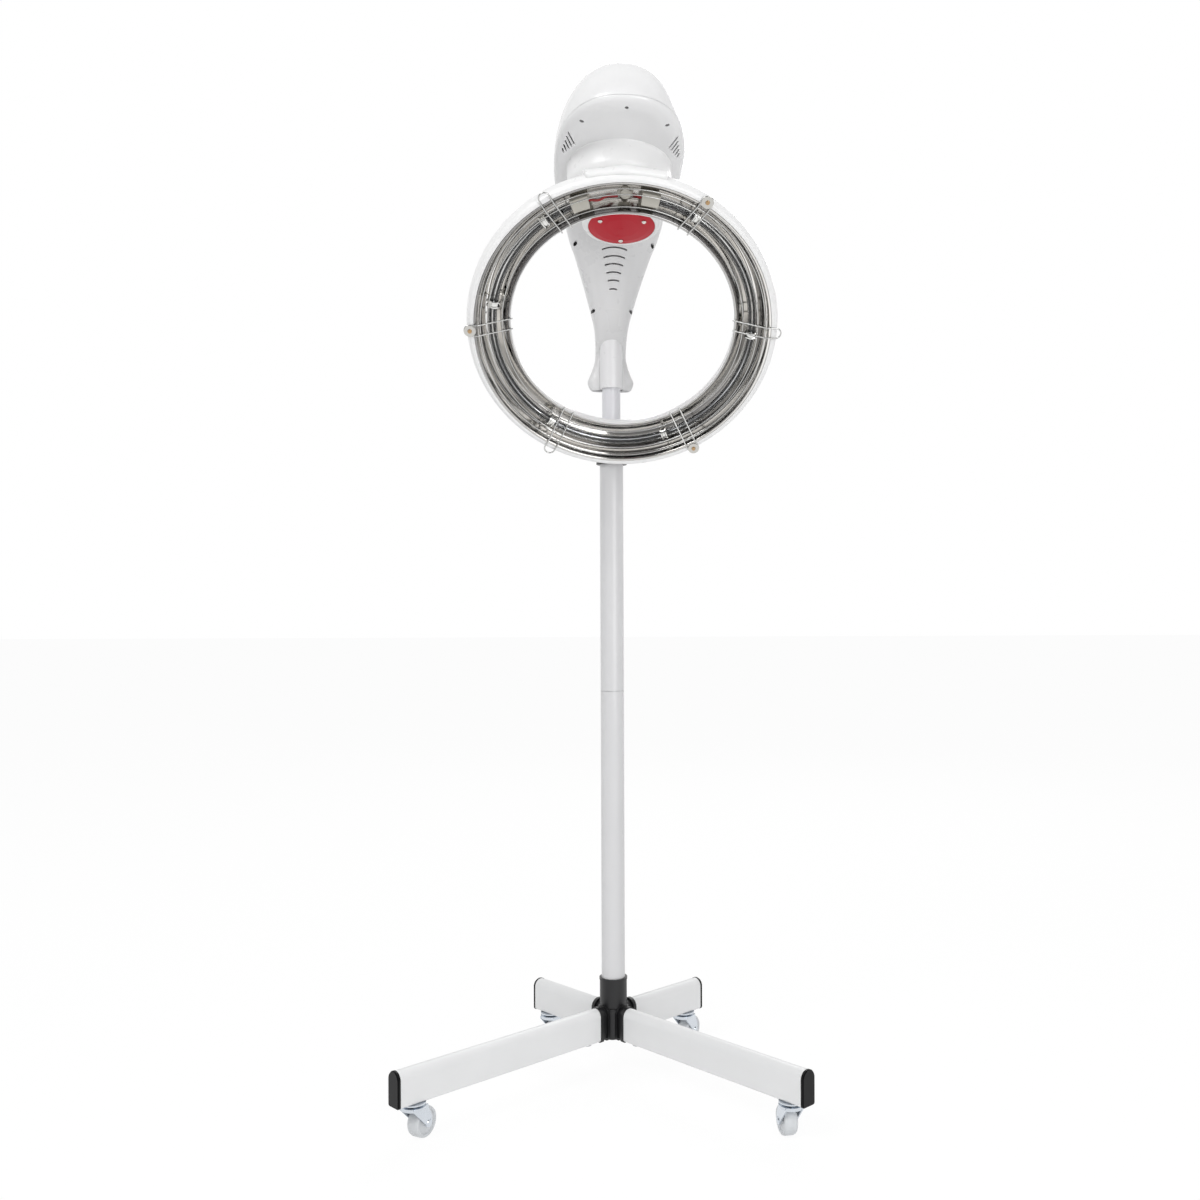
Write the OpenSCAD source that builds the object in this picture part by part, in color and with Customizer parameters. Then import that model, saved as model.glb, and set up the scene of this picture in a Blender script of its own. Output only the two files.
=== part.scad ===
// Orbiting halo hair dryer on a rolling telescopic stand, in millimetres.
// The origin is on the floor on the pole's axis, +Z is up and -Y is the client's side.

/* [Stand] */
// Distance from the pole's axis to the outer face of a front leg's cap
front_reach = 346; // [300:1:420]
// Distance from the pole's axis to the outer face of a rear leg's cap
rear_reach = 164; // [150:1:260]
// Angle between a leg and the X axis
leg_angle = 45; // [38:1:52]
// Width of a leg tube
leg_w = 21; // [18:0.5:26]
// Height of a leg tube
leg_h = 43; // [36:1:50]
// Wall of a leg tube
leg_wall = 1.5; // [1:0.1:2.5]
// Height of the legs' undersides above the floor
leg_z = 47; // [42:1:60]
// Distance from the pole's axis to the faces that the legs butt against
leg_root = 32; // [29:0.5:36]
// Thickness of a leg's end cap outside the tube
cap_t = 4; // [3:0.5:8]
// Outside diameter of the hub's pole socket
socket_d = 37; // [36:0.5:44]
// Height of the top of the hub's pole socket above the floor
socket_top = 127; // [115:1:150]

/* [Casters] */
// Diameter of a caster wheel
wheel_d = 37; // [30:0.5:39]
// Width of a caster wheel
wheel_w = 17; // [12:0.5:20]
// Distance from a caster's swivel axis to its axle
trail = 15; // [12:0.5:18]
// Distance from a leg's cap face to the caster's swivel axis
caster_inset = 28; // [26:1:40]
// Diameter of a caster's mounting plate
plate_d = 30; // [26:0.5:36]
// Headings of the front left, front right, rear left and rear right wheels behind their swivel axes
caster_headings = [62, 105, 62, 60];

/* [Pole] */
// Outside diameter of the fixed pole
pole_d = 32; // [31:0.1:32.6]
// Wall of the fixed pole
pole_wall = 1.5; // [1.2:0.1:1.8]
// Height of the seam between the pole's two sections
seam_z = 519; // [480:1:540]
// Height of the top end of the fixed pole
pole_top = 870; // [860:1:872]
// Outside diameter of the sliding mast
mast_d = 25; // [24:0.1:25.4]
// Wall of the sliding mast
mast_wall = 1.2; // [1:0.1:2]
// Height of the mast's lower end at the modelled setting
mast_bottom = 470; // [450:1:480]
// Height of the mast's upper end at the modelled setting
mast_top = 1016; // [1006:1:1018]
// Diameter of the height collar
collar_d = 40; // [38:0.5:46]
// Height of the collar's lower edge
collar_z = 829; // [822:1:836]
// Length of the height collar
collar_h = 50; // [46:1:52]
// Diameter of the clamp knob
knob_d = 36; // [28:1:44]

/* [Neck] */
// Turn of the head about the pole from straight ahead
head_turn = 7.4; // [-20:0.1:20]
// Outside diameter of the socket that turns on the mast
neck_socket_d = 31.3; // [30:0.1:33]
// Height of the socket's lower edge
neck_socket_z = 933; // [930:0.5:940]
// Wall of the neck's two shells
neck_wall = 2.6; // [2:0.1:3.5]
// Number of arched vents in the neck's front
vent_count = 6; // [3:1:6]
// Height of a vent's opening
vent_gap = 2; // [1.5:0.1:3]

/* [Head] */
// Distance from the pole's axis forward to the middle of the ring
ring_reach = 225; // [223:1:235]
// Height of the middle of the ring
ring_z = 966.6; // [964:0.1:969]
// Lean of the orbit axis from upright, its lower end forward
axis_tilt = 13; // [12:0.5:14]
// Half the width of the head
head_w = 80.4; // [78:0.1:88]
// Length of the head in front of its widest section
head_front = 139; // [136:1:150]
// Length of the head behind its widest section
head_rear = 162; // [158:1:175]
// Height of the domed cover above its lower edge
dome_h = 95; // [92:1:110]
// Wall of the head's two shells
head_wall = 3; // [2.4:0.1:3.6]
// Outside diameter of the drum under the head
drum_d = 130; // [126:1:132]

/* [Orbit drive] */
// Module of the two gears
gear_module = 1.5; // [1.4:0.05:1.5]
// Number of teeth on the orbit gear
gear_teeth = 40; // [36:1:42]
// Number of teeth on the motor's pinion
pinion_teeth = 12; // [11:1:14]
// Thickness of the orbit gear
gear_t = 7; // [5:0.5:8]
// Outside diameter of the orbit shaft
shaft_d = 16; // [14:0.5:18]
// Diameter of the motor's body
motor_d = 37; // [30:1:38]
// Length of the motor's body
motor_l = 28; // [20:1:40]
// Diameter of the hub that carries the ring
hub_d = 96; // [92:1:98]
// Diameter of the lens under the hub
lens_d = 81; // [70:1:84]

/* [Ring] */
// Lean of the ring's plane from upright, its top forward
ring_tilt = 36.6; // [32:0.1:38]
// Turn of the ring about the orbit axis from straight ahead
ring_turn = -2; // [-20:0.1:20]
// Radius of the reflector's outer rim
rim_r = 176; // [172:0.5:177]
// Width of the reflector between its two rims
trough_w = 41; // [39.5:0.5:45]
// How far the reflector's inner rim lies behind its outer rim
rim_step = 20; // [16:0.5:24]
// Depth of the reflector from its outer rim to its floor
trough_depth = 40; // [38:0.5:44]
// Width of the ring's shell outside the reflector's outer rim
shell_w = 9; // [8.5:0.5:13]
// Wall of the ring's shell
shell_wall = 2.5; // [2:0.1:3]
// Width of the bridge from the hub to the ring
arm_w = 97; // [80:1:110]

/* [Heater] */
// Distance from the reflector's inner rim out to the heater tube's centre line
heater_inset = 20.5; // [18:0.5:22.5]
// Diameter of the quartz heater tube
heater_d = 11; // [9:0.5:12]
// Wall of the quartz heater tube
heater_wall = 1.1; // [0.8:0.1:1.5]
// Angle at the top of the ring where the heater tube starts
heater_from = 113; // [108:0.5:116]
// Angle that the heater tube covers
heater_span = 323; // [310:1:326]
// Angles of the clips that hold the heater tube
clip_angles = [58.8, 126, 170.2, 235.3, 290.2, 356.4];

/* [Guard] */
// Diameter of the guard's wire
wire_d = 2; // [1.6:0.1:2.4]
// Distance from the reflector's inner rim out to the guard's inner round wire
inner_wire_inset = 9; // [7:0.5:12]
// Distances from the reflector's outer rim in to the guard's two other round wires
outer_wire_insets = [15, 7];
// Distance between the two wires of a radial pair
pair_gap = 13; // [11:0.5:15]

/* [Controls] */
// Width of the control panel
panel_w = 64; // [60:1:70]
// Height of the control panel
panel_h = 50; // [46:1:56]
// Diameter of a control button
button_d = 8.8; // [7:0.2:9.4]
// Distance that a button travels
button_travel = 1.2; // [0.8:0.1:1.4]
// Bore of the mains lead's inlet
inlet_bore = 7.2; // [6:0.2:9]

/* [Hidden] */
$fn = 64;
clear = 0.3;       // gap between pieces that don't touch
slip = 0.05;       // radial gap of a running fit
seat = 0.1;        // gap of a piece in its moulded seat

cap_plug = 14;     // length of a cap's plug inside the leg
tenon = 30;        // length of the hub's plug inside a leg
leg_corner = 3;    // radius of a leg's lower edges
bolt_r = 3;        // shank of a leg bolt
bolt_at = leg_root + tenon / 2;
front_caster = front_reach - caster_inset;
rear_caster = rear_reach - caster_inset;
corners = [[-1, -1], [1, -1], [-1, 1], [1, 1]];

stem_r = 4;        // kingpin and stem of a caster
plate_t = 1.6;
race_t = 2.4;
crown_t = 4.2;     // depth of the fork's crown
crown_top = leg_z - plate_t - race_t - clear;
crown_bottom = crown_top - crown_t;
fork_t = 1.8;      // thickness of a fork's cheek
fork_in = wheel_w / 2 + 1;
axle_r = 2.5;
stem_top = leg_z + 13;

pole_bottom = 58;
pole_in = pole_d / 2 - pole_wall;
joiner_l = 80;
joiner_in = mast_d / 2 + 1;
bush_l = 58;
collar_top = collar_z + collar_h;
flange_t = 3;      // flange of the collar's bush on the pole's end
knob_z = collar_z + 23;
knob_screw_r = 4;
boss_out = 31;     // how far the collar's clamp boss reaches from the axis

// The neck: height, half width, y of the front and y of the back
neck = [
    [931.5, 26, 1.5, 20], [934, 28.6, 0.5, 22.5], [939, 30.8, 0, 24.5], [945, 31.4, 0, 25],
    [957, 26.5, 0, 24], [971, 22, 0, 22.5], [982, 21, 0, 21.5], [998, 21.4, -15.7, 20.5],
    [1017, 23.7, -29, 19.5], [1037, 29, -38, 17.5], [1063, 36.8, -49, 10], [1086, 44.5, -62, 2],
    [1106, 51.8, -77, -5], [1120, 58, -90, -10], [1140, 64, -114, -16], [1160, 65.5, -134, -20],
    [1192, 66, -150, -24]
];
neck_part_y = 8;           // where the shells part at the neck's foot
neck_hollow_row = 8;       // the neck is hollow from this row up
neck_vent_z = [1071.6, 1080, 1090.6, 1101.6, 1111.8, 1121.6];
neck_screws_at = [[25.5, 1034], [50.9, 1113]];
neck_round = 2.6;          // squareness of the neck's outline

lip_z = 233.3;             // the cover's lower edge, along the orbit axis from the ring's middle
floor_z = 224;             // the head's flat underside
head_mid = 20;             // the head's widest section, behind the orbit axis
apex_mid = -12;            // the dome's apex
head_round = 2.36;         // squareness of the head's plan
dome_round = 1.85;         // squareness of the dome's side
drum_mid = 19;             // the drum's middle, behind the orbit axis
drum_z = 187;              // the drum's underside
drum_edge = 12;            // rounding of the drum's lower edge
cove = 4;                  // fillet between the drum and the underside
cove_sink = 1.5;           // how far the fillet's top lies inside the underside
skirt_lean = 0.8;          // how far the skirt inside the cover leans in
brim = [[19, 0], [12, 1.3], [6, 3.8], [2, 6.6], [0, lip_z - floor_z]];

hub_top = 183;
hub_bottom = 134;
hub_wall = 3.2;
lens_t = 3;
lens_screw_r = 30.5;
bearing_r = 13;
bearing_z = drum_z + 3;
bearing_t = 9;
gear_z = 203;
gear_r = gear_module * gear_teeth / 2;
pinion_r = gear_module * pinion_teeth / 2;
backlash = 0.15;
gear_distance = gear_r + pinion_r + backlash;
drive_plate_z = 214;
drive_plate_t = 3;
slip_ring_r = 12;
slip_ring_z = 219;
slip_ring_l = 17;
shaft_top = 240;
motor_shaft_r = 2.5;

rim_z = 8;                 // the outer rim, in front of the ring's middle
inner_rim_r = rim_r - trough_w;
heater_r = inner_rim_r + heater_inset;
guard_radii = concat([inner_rim_r + inner_wire_inset], [for (inset = outer_wire_insets) rim_r - inset]);
inner_rim_z = rim_z - rim_step;
trough_z = rim_z - trough_depth;
heater_z = trough_z + 22;
thermostat_z = trough_z + 7.2;
guard_z = rim_z + wire_d / 2 + 0.2;
guard_inner_z = inner_rim_z + wire_d / 2 + 0.5;
guard_bend_r = rim_r - 5;
guard_slope = (guard_z - guard_inner_z) / (guard_bend_r - inner_rim_r);
guard_end_r = inner_rim_r - 3;
guard_lean = atan(guard_slope);
guard_bend = 5;
wire_sink = (wire_d + 0.15) / cos(guard_lean); // the round wires lie behind the radial ones
eye_at = rim_r + 5;

panel_tilt = 40.9;         // lean of the control panel
panel_at = [0, 157.6, 275.2];
panel_t = 3;
button_pitch = 11.4;
board_z = -13;
inlet_z = 1100;

// ---------------------------------------------------------------- helpers

function mix(a, b, t) = a + (b - a) * t;
function bent(v, power) = sign(v) * pow(abs(v), power);
function flipped(list) = [for (i = [len(list) - 1 : -1 : 0]) list[i]];

// Points of an oval with its own length in front of and behind its middle
function oval(half_w, front, rear, squareness, count) = [
    for (i = [0 : count - 1])
        let (a = 360 * i / count, power = 2 / squareness)
        [half_w * bent(cos(a), power), (sin(a) < 0 ? front : rear) * bent(sin(a), power)]
];

function at_height(points, y, z) = [for (p = points) [p[0], p[1] + y, z]];

// A band of even thickness along a line: the line and its copy, t to the left of it
function side_of(line, i, t) =
    let (
        before = line[max(i - 1, 0)],
        after = line[min(i + 1, len(line) - 1)],
        run = (after - before) / norm(after - before)
    )
    line[i] + t * [-run[1], run[0]];
function band(line, t) = concat(line, flipped([for (i = [0 : len(line) - 1]) side_of(line, i, t)]));

// A closed skin over a stack of rings of points, each ring counterclockwise seen from above
module loft(rings) {
    n = len(rings[0]);
    last = len(rings) - 1;
    points = [for (ring = rings) each ring];
    sides = [
        for (k = [0 : last - 1], i = [0 : n - 1])
            let (a = k * n + i, b = k * n + (i + 1) % n)
            each [[a, a + n, b + n], [a, b + n, b]]
    ];
    foot = [for (i = [0 : n - 1]) i];
    head = [for (i = [n - 1 : -1 : 0]) last * n + i];
    polyhedron(points, concat([foot], sides, [head]));
}

// A tube of round section along points, its rings squared to the path with side_axis as a guide
module swept(path, r, side_axis, sides = 8) {
    last = len(path) - 1;
    rings = [
        for (k = [0 : last])
            let (
                run = path[min(k + 1, last)] - path[max(k - 1, 0)],
                u = cross(side_axis, run) / norm(cross(side_axis, run)),
                v = cross(run, u) / norm(cross(run, u))
            )
            [for (i = [0 : sides - 1]) path[k] + r * (cos(360 * i / sides) * u + sin(360 * i / sides) * v)]
    ];
    loft(rings);
}

module rounded_plate(w, h, t, r) {
    linear_extrude(t) {
        square([w - 2 * r, h], center = true);
        square([w, h - 2 * r], center = true);
        for (x = [-1, 1], y = [-1, 1])
            translate([x * (w / 2 - r), y * (h / 2 - r)]) circle(r, $fn = 32);
    }
}

// A slot with round ends between two points, cut along Z
module slot_between(a, b, w, depth) {
    length = norm(b - a);
    translate([a[0], a[1], 0]) rotate([0, 0, atan2(b[1] - a[1], b[0] - a[0])]) linear_extrude(depth) {
        translate([0, -w / 2]) square([length, w]);
        circle(w / 2, $fn = 24);
        translate([length, 0]) circle(w / 2, $fn = 24);
    }
}

module on_leg(side) {
    along = side[1] < 0 ? -leg_angle : leg_angle;
    rotate([0, 0, side[0] > 0 ? along : 180 - along]) children();
}

module on_head() rotate([0, 0, head_turn]) children();

// Along the orbit axis: the origin is the ring's middle and +Z runs up the axis
module on_axis() on_head() translate([0, -ring_reach, ring_z]) rotate([-axis_tilt, 0, 0]) children();

module on_orbit() on_axis() rotate([0, 0, ring_turn]) children();

// In the ring's plane: +Y is the ring's top and +Z looks out of its open side
module on_ring() on_orbit() rotate([90 + ring_tilt + axis_tilt, 0, 0]) children();

module on_panel() on_axis() translate(panel_at) rotate([-panel_tilt, 0, 0]) children();

// ---------------------------------------------------------------- stand

// The section of a leg: half round on top, two small corners below
module leg_section(inset) {
    r = leg_w / 2 - inset;
    low = leg_z + inset;
    corner = max(leg_corner - inset, 0.5);
    top = leg_z + leg_h - leg_w / 2;
    translate([0, top]) circle(r);
    translate([-r, low + corner]) square([2 * r, top - low - corner]);
    translate([-r + corner, low]) square([2 * (r - corner), corner + 1]);
    for (side = [-1, 1])
        translate([side * (r - corner), low + corner]) circle(corner, $fn = 32);
}

module leg_length(inset, from, to) {
    translate([from, 0, 0]) rotate([90, 0, 90]) linear_extrude(to - from) leg_section(inset);
}

module leg(side, reach) {
    on_leg(side) difference() {
        leg_length(0, leg_root, reach - cap_t);
        leg_length(leg_wall, leg_root - 1, reach - cap_t + 1);
        translate([bolt_at, 0, leg_z - 1]) cylinder(r = bolt_r + seat, h = leg_wall + 2);
        translate([reach - caster_inset, 0, leg_z - 1]) cylinder(r = stem_r + seat, h = leg_wall + 2);
    }
}

module front_legs() color("whitesmoke") {
    leg(corners[0], front_reach);
    leg(corners[1], front_reach);
}

module rear_legs() color("whitesmoke") {
    leg(corners[2], rear_reach);
    leg(corners[3], rear_reach);
}

module base_hub() color("#2a2a2c") difference() {
    union() {
        translate([0, 0, leg_z + leg_h - 8]) cylinder(d = socket_d, h = socket_top - leg_z - leg_h + 8);
        translate([0, 0, socket_top - 3]) cylinder(d = socket_d + 1.2, h = 3);
        translate([0, 0, leg_z - 0.5]) cylinder(r = 17, h = leg_h);
        for (quarter = [0 : 3])
            rotate([0, 0, 90 * quarter]) translate([0, 12, leg_z - 0.5]) cylinder(d = 17, h = leg_h - 2);
        for (side = corners)
            on_leg(side) {
                leg_length(-1.5, 8, 20);
                leg_length(-1.5, leg_root - 5, leg_root);
                leg_length(1.5, 15, leg_root);
                leg_length(leg_wall + clear, leg_root - 1, leg_root + tenon);
            }
    }
    translate([0, 0, pole_bottom]) cylinder(r = pole_d / 2 + seat, h = socket_top);
    for (side = corners)
        on_leg(side) translate([bolt_at, 0, leg_z]) cylinder(r = bolt_r + slip, h = 16 + seat);
}

module leg_end_caps() color("#222224")
    for (side = corners)
        on_leg(side) {
            reach = side[1] < 0 ? front_reach : rear_reach;
            leg_length(-0.4, reach - cap_t, reach - 1.4);
            leg_length(0.6, reach - 1.4, reach);
            difference() {
                leg_length(leg_wall + clear, reach - cap_t - cap_plug, reach - cap_t);
                leg_length(leg_wall + clear + 2, reach - cap_t - cap_plug - 1, reach - cap_t - 2);
            }
        }

module leg_bolts() color("silver")
    for (side = corners)
        on_leg(side) translate([bolt_at, 0, 0]) difference() {
            union() {
                translate([0, 0, leg_z - 3]) cylinder(r = 5.5, h = 3);
                translate([0, 0, leg_z - 0.5]) cylinder(r = bolt_r, h = 16);
            }
            translate([0, 0, leg_z - 4]) cylinder(r = 2.6, h = 2.4, $fn = 6);
        }

module caster_stem() {
    translate([0, 0, leg_z - plate_t]) cylinder(d = plate_d, h = plate_t);
    translate([0, 0, leg_z - plate_t - race_t]) cylinder(d1 = plate_d - 9, d2 = plate_d - 4, h = race_t);
    translate([0, 0, crown_bottom - clear]) cylinder(r = stem_r, h = stem_top - crown_bottom + clear);
    translate([0, 0, crown_bottom - clear - 1.6]) cylinder(r = stem_r + 2, h = 1.6);
    translate([0, 0, leg_z + leg_wall]) cylinder(r = 7.2, h = 6.5, $fn = 6);
}

module at_caster(side) {
    on_leg(side) translate([side[1] < 0 ? front_caster : rear_caster, 0, 0]) children();
}

module caster_stems() color("lightsteelblue")
    for (side = corners)
        at_caster(side) caster_stem();

// A caster's own frame: its swivel axis is Z and its wheel trails along +X
module in_caster(corner) {
    side = corners[corner];
    reach = side[1] < 0 ? front_caster : rear_caster;
    place = reach * [side[0] * cos(leg_angle), side[1] * sin(leg_angle), 0];
    translate(place) rotate([0, 0, caster_headings[corner]]) children();
}

module fork_cheek() {
    translate([trail, wheel_d / 2]) circle(r = 5.5);
    polygon([
        [-plate_d / 2 + 3, crown_top - 1], [-plate_d / 2 + 3.5, crown_bottom],
        [trail - 5.4, wheel_d / 2 - 1], [trail + 5.45, wheel_d / 2 - 0.6],
        [trail + 4.6, wheel_d / 2 + 8], [plate_d / 2 - 1, crown_bottom], [plate_d / 2 - 1.4, crown_top - 1]
    ]);
}

module caster_fork(corner) color("lightsteelblue") in_caster(corner) {
    difference() {
        union() {
            translate([0, 0, crown_bottom]) cylinder(d1 = plate_d - 1, d2 = plate_d, h = 1.4);
            translate([0, 0, crown_bottom + 1.4]) cylinder(d = plate_d, h = crown_t - 1.4);
            for (y = [-fork_in, fork_in + fork_t])
                translate([0, y, 0]) rotate([90, 0, 0]) linear_extrude(fork_t) fork_cheek();
        }
        translate([0, 0, crown_bottom - 1]) cylinder(r = stem_r + slip, h = crown_t + 2);
        translate([trail, fork_in + fork_t + 1, wheel_d / 2]) rotate([90, 0, 0])
            cylinder(r = axle_r + 0.02, h = 2 * (fork_in + fork_t + 1));
    }
    translate([trail, fork_in + fork_t, wheel_d / 2]) rotate([90, 0, 0])
        cylinder(r = axle_r, h = 2 * (fork_in + fork_t));
    for (way = [0, 180])
        translate([trail, 0, wheel_d / 2]) rotate([90, 0, way]) translate([0, 0, fork_in + fork_t])
            cylinder(r1 = axle_r + 1.6, r2 = axle_r + 0.4, h = 1.2);
}

module caster_wheel(corner) color("gainsboro") in_caster(corner) {
    r = wheel_d / 2;
    half = wheel_w / 2;
    translate([trail, 0, r]) rotate([90, 0, 0]) rotate_extrude() polygon([
        [axle_r + slip, -half - 0.5], [axle_r + 2.6, -half - 0.5], [axle_r + 2.8, -half + 1.5],
        [r - 5, -half + 2], [r - 4, -half + 0.4], [r - 2.4, -half], [r - 0.8, -half + 1.2], [r, -half + 3.6],
        [r, half - 3.6], [r - 0.8, half - 1.2], [r - 2.4, half], [r - 4, half - 0.4],
        [r - 5, half - 2], [axle_r + 2.8, half - 1.5], [axle_r + 2.6, half + 0.5], [axle_r + slip, half + 0.5]
    ]);
}

// ---------------------------------------------------------------- pole

module tube(outer_r, inner_r, from, to) translate([0, 0, from]) difference() {
    cylinder(r = outer_r, h = to - from);
    translate([0, 0, -1]) cylinder(r = inner_r, h = to - from + 2);
}

module lower_tube() color("#dcdcde") tube(pole_d / 2, pole_in, pole_bottom, seam_z - 0.25);

module tube_joiner() color("silver")
    tube(pole_in - seat, joiner_in, seam_z - joiner_l / 2, seam_z + joiner_l / 2);

module knob_bore() translate([0, mast_d / 2 - 3, knob_z]) rotate([-90, 0, 0])
    cylinder(r = knob_screw_r + 0.08, h = boss_out);

module upper_tube() color("#dcdcde") difference() {
    tube(pole_d / 2, pole_in, seam_z + 0.25, pole_top);
    knob_bore();
}

module collar_bush() color("#3a3a3c") difference() {
    union() {
        tube(pole_in - seat, mast_d / 2 + slip, pole_top - bush_l, pole_top);
        tube(pole_d / 2, mast_d / 2 + slip, pole_top, pole_top + flange_t);
    }
    knob_bore();
}

module height_collar() color("#222224") difference() {
    union() {
        translate([0, 0, collar_z]) cylinder(d = collar_d, h = collar_h - 3);
        translate([0, 0, collar_top - 3]) cylinder(d1 = collar_d, d2 = collar_d - 5, h = 3);
        translate([0, 0, knob_z]) rotate([-90, 0, 0]) cylinder(r = 10, h = boss_out);
        translate([0, 0, collar_z]) cylinder(d = collar_d + 1.4, h = 3);
    }
    translate([0, 0, collar_z - 1])
        cylinder(r = pole_d / 2 + seat, h = pole_top + flange_t - collar_z + 1 + seat);
    translate([0, 0, collar_z]) cylinder(r = mast_d / 2 + 0.5, h = collar_h + 1);
    knob_bore();
}

module clamp_knob() color("#222224") translate([0, 0, knob_z]) rotate([-90, 0, 0]) {
    translate([0, 0, mast_d / 2 + clear]) cylinder(r = knob_screw_r, h = boss_out - mast_d / 2);
    translate([0, 0, boss_out + clear]) cylinder(r1 = knob_d / 2 - 8, r2 = knob_d / 2 - 5, h = 5);
    difference() {
        translate([0, 0, boss_out + clear + 4]) cylinder(d = knob_d, h = 14);
        for (lobe = [0 : 5])
            rotate([0, 0, 60 * lobe]) translate([knob_d / 2 + 2.5, 0, boss_out]) cylinder(r = 5, h = 30);
    }
    translate([0, 0, boss_out + clear + 18]) cylinder(r1 = knob_d / 2 - 6, r2 = knob_d / 2 - 9, h = 2);
}

module inner_tube() color("#d0d0d4") tube(mast_d / 2, mast_d / 2 - mast_wall, mast_bottom, mast_top);

// A ring below the bush keeps the mast from pulling out, and its plug closes the mast's end
module mast_stop() color("#3a3a3c") {
    translate([0, 0, mast_bottom - 4]) cylinder(r1 = mast_d / 2 - 1, r2 = joiner_in - clear, h = 4);
    translate([0, 0, mast_bottom]) cylinder(r = mast_d / 2 - mast_wall - seat, h = 16);
}

// ---------------------------------------------------------------- neck

function neck_ring(row, inset) =
    let (middle = (row[2] + row[3]) / 2, half = (row[3] - row[2]) / 2 - inset)
    at_height(oval(row[1] - inset, half, half, neck_round, 40), middle, row[0]);

module neck_outside() loft([for (row = neck) neck_ring(row, 0)]);

module neck_inside() {
    rows = [for (i = [neck_hollow_row : len(neck) - 1]) neck[i]];
    loft([for (row = rows) neck_ring(row, neck_wall)]);
}

// Everything in front of the line on which the two shells part
module neck_front_side() {
    line = concat(
        [[neck_part_y, neck[0][0] - 5], [neck_part_y, neck[7][0]]],
        [for (i = [8 : len(neck) - 1]) [(neck[i][2] + neck[i][3]) / 2 + (i == 8 ? 8 : 0), neck[i][0]]]
    );
    far = [[-300, neck[len(neck) - 1][0] + 40], [-300, neck[0][0] - 5]];
    top = [[line[len(line) - 1][0] - 10, neck[len(neck) - 1][0] + 40]];
    translate([-150, 0, 0]) rotate([90, 0, 90]) linear_extrude(300) polygon(concat(line, top, far));
}

// Both shells' walls and the bosses inside them
module neck_walls() {
    difference() {
        neck_outside();
        neck_inside();
    }
    intersection() {
        neck_outside();
        neck_bosses(4.5, -120, 60);
    }
}

module neck_bosses(r, from, to) {
    for (place = neck_screws_at, side = [-1, 1])
        translate([side * place[0], from, place[1]]) rotate([-90, 0, 0]) cylinder(r = r, h = to - from);
}

// The rotating socket, the drum and the head's underside, which the neck's shells are cut to
module neck_cuts() {
    translate([0, 0, 900]) cylinder(d = neck_socket_d + 2 * seat, h = mast_top + 8 - 900 + seat);
    translate([0, -ring_reach, ring_z]) rotate([-axis_tilt, 0, 0]) {
        translate([0, drum_mid, drum_z - clear]) cylinder(d = drum_d + 2 * clear, h = 100);
        translate([0, drum_mid, floor_z - cove])
            cylinder(d1 = drum_d + 2 * clear, d2 = drum_d + 2 * (cove + clear), h = cove);
        translate([-200, -200, floor_z - seat]) cube([400, 500, 100]);
    }
}

module neck_vents() {
    for (i = [0 : vent_count - 1])
        let (half = 6.5 + 2.2 * i, z = neck_vent_z[i], r = 1.35 * half, sink = sqrt(r * r - half * half))
        translate([0, -20, z - sink]) rotate([90, 0, 0]) intersection() {
            difference() {
                cylinder(r = r + vent_gap / 2, h = 120);
                translate([0, 0, -1]) cylinder(r = r - vent_gap / 2, h = 122);
            }
            translate([-half, 0, 0]) cube([2 * half, 2 * r, 120]);
        }
}

module neck_front_shell() color("white") on_head() difference() {
    intersection() {
        neck_walls();
        neck_front_side();
    }
    neck_cuts();
    neck_vents();
    neck_bosses(2.2, -180, 60);
    for (place = neck_screws_at, side = [-1, 1])
        translate([side * place[0], -180, place[1]]) rotate([-90, 0, 0])
            cylinder(r = 2.5, h = 180 + screw_seat(place));
}

// y at which a neck screw's head sits in the front shell
function part_y(z) = lookup(z, [for (i = [8 : len(neck) - 1]) [neck[i][0], (neck[i][2] + neck[i][3]) / 2]]);
function screw_seat(place) = part_y(place[1]) - 6;

module neck_rear_shell() color("white") on_head() difference() {
    union() {
        difference() {
            neck_walls();
            neck_front_side();
        }
        translate([0, -12, inlet_z]) rotate([-90, 0, 0]) cylinder(r = 11, h = 15);
    }
    neck_cuts();
    neck_bosses(1.7, -180, 0);
    translate([0, -60, inlet_z]) rotate([-90, 0, 0]) cylinder(r = 7 + seat, h = 80);
}

module neck_screws() color("dimgray") on_head()
    for (place = neck_screws_at, side = [-1, 1])
        translate([side * place[0], screw_seat(place), place[1]]) rotate([-90, 0, 0]) {
            translate([0, 0, -2]) cylinder(r = 2.2, h = 2);
            cylinder(r = 1.65, h = 14);
        }

module neck_socket() color("whitesmoke") on_head() difference() {
    translate([0, 0, neck_socket_z]) cylinder(d = neck_socket_d, h = mast_top + 8 - neck_socket_z);
    translate([0, 0, neck_socket_z - 1])
        cylinder(r = mast_d / 2 + slip, h = mast_top + clear - neck_socket_z + 1);
    translate([0, 0, mast_top]) cylinder(r = 7, h = 20);
}

module power_inlet() color("#222224") on_head()
    translate([0, -12, inlet_z]) rotate([-90, 0, 0]) difference() {
        union() {
            cylinder(r = 7, h = 22);
            translate([0, 0, 15]) cylinder(r = 10, h = 3);
            translate([0, 0, 18]) cylinder(r1 = 8.5, r2 = 6.5, h = 5);
        }
        translate([0, 0, -1]) cylinder(d = inlet_bore, h = 30);
    }

// ---------------------------------------------------------------- head

function head_ring(inset, size, z) =
    let (k = size)
    at_height(
        oval((head_w - inset) * k, (head_front - inset) * k, (head_rear - inset) * k, head_round, 48),
        mix(apex_mid, head_mid, k), z
    );

dome_steps = 11;
function dome_rings(inset, height) = [
    for (i = [0 : dome_steps])
        let (a = 87 * i / dome_steps, size = pow(cos(a), 2 / dome_round), up = pow(sin(a), 2 / dome_round))
        head_ring(inset, size, lip_z + height * up)
];

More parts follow.
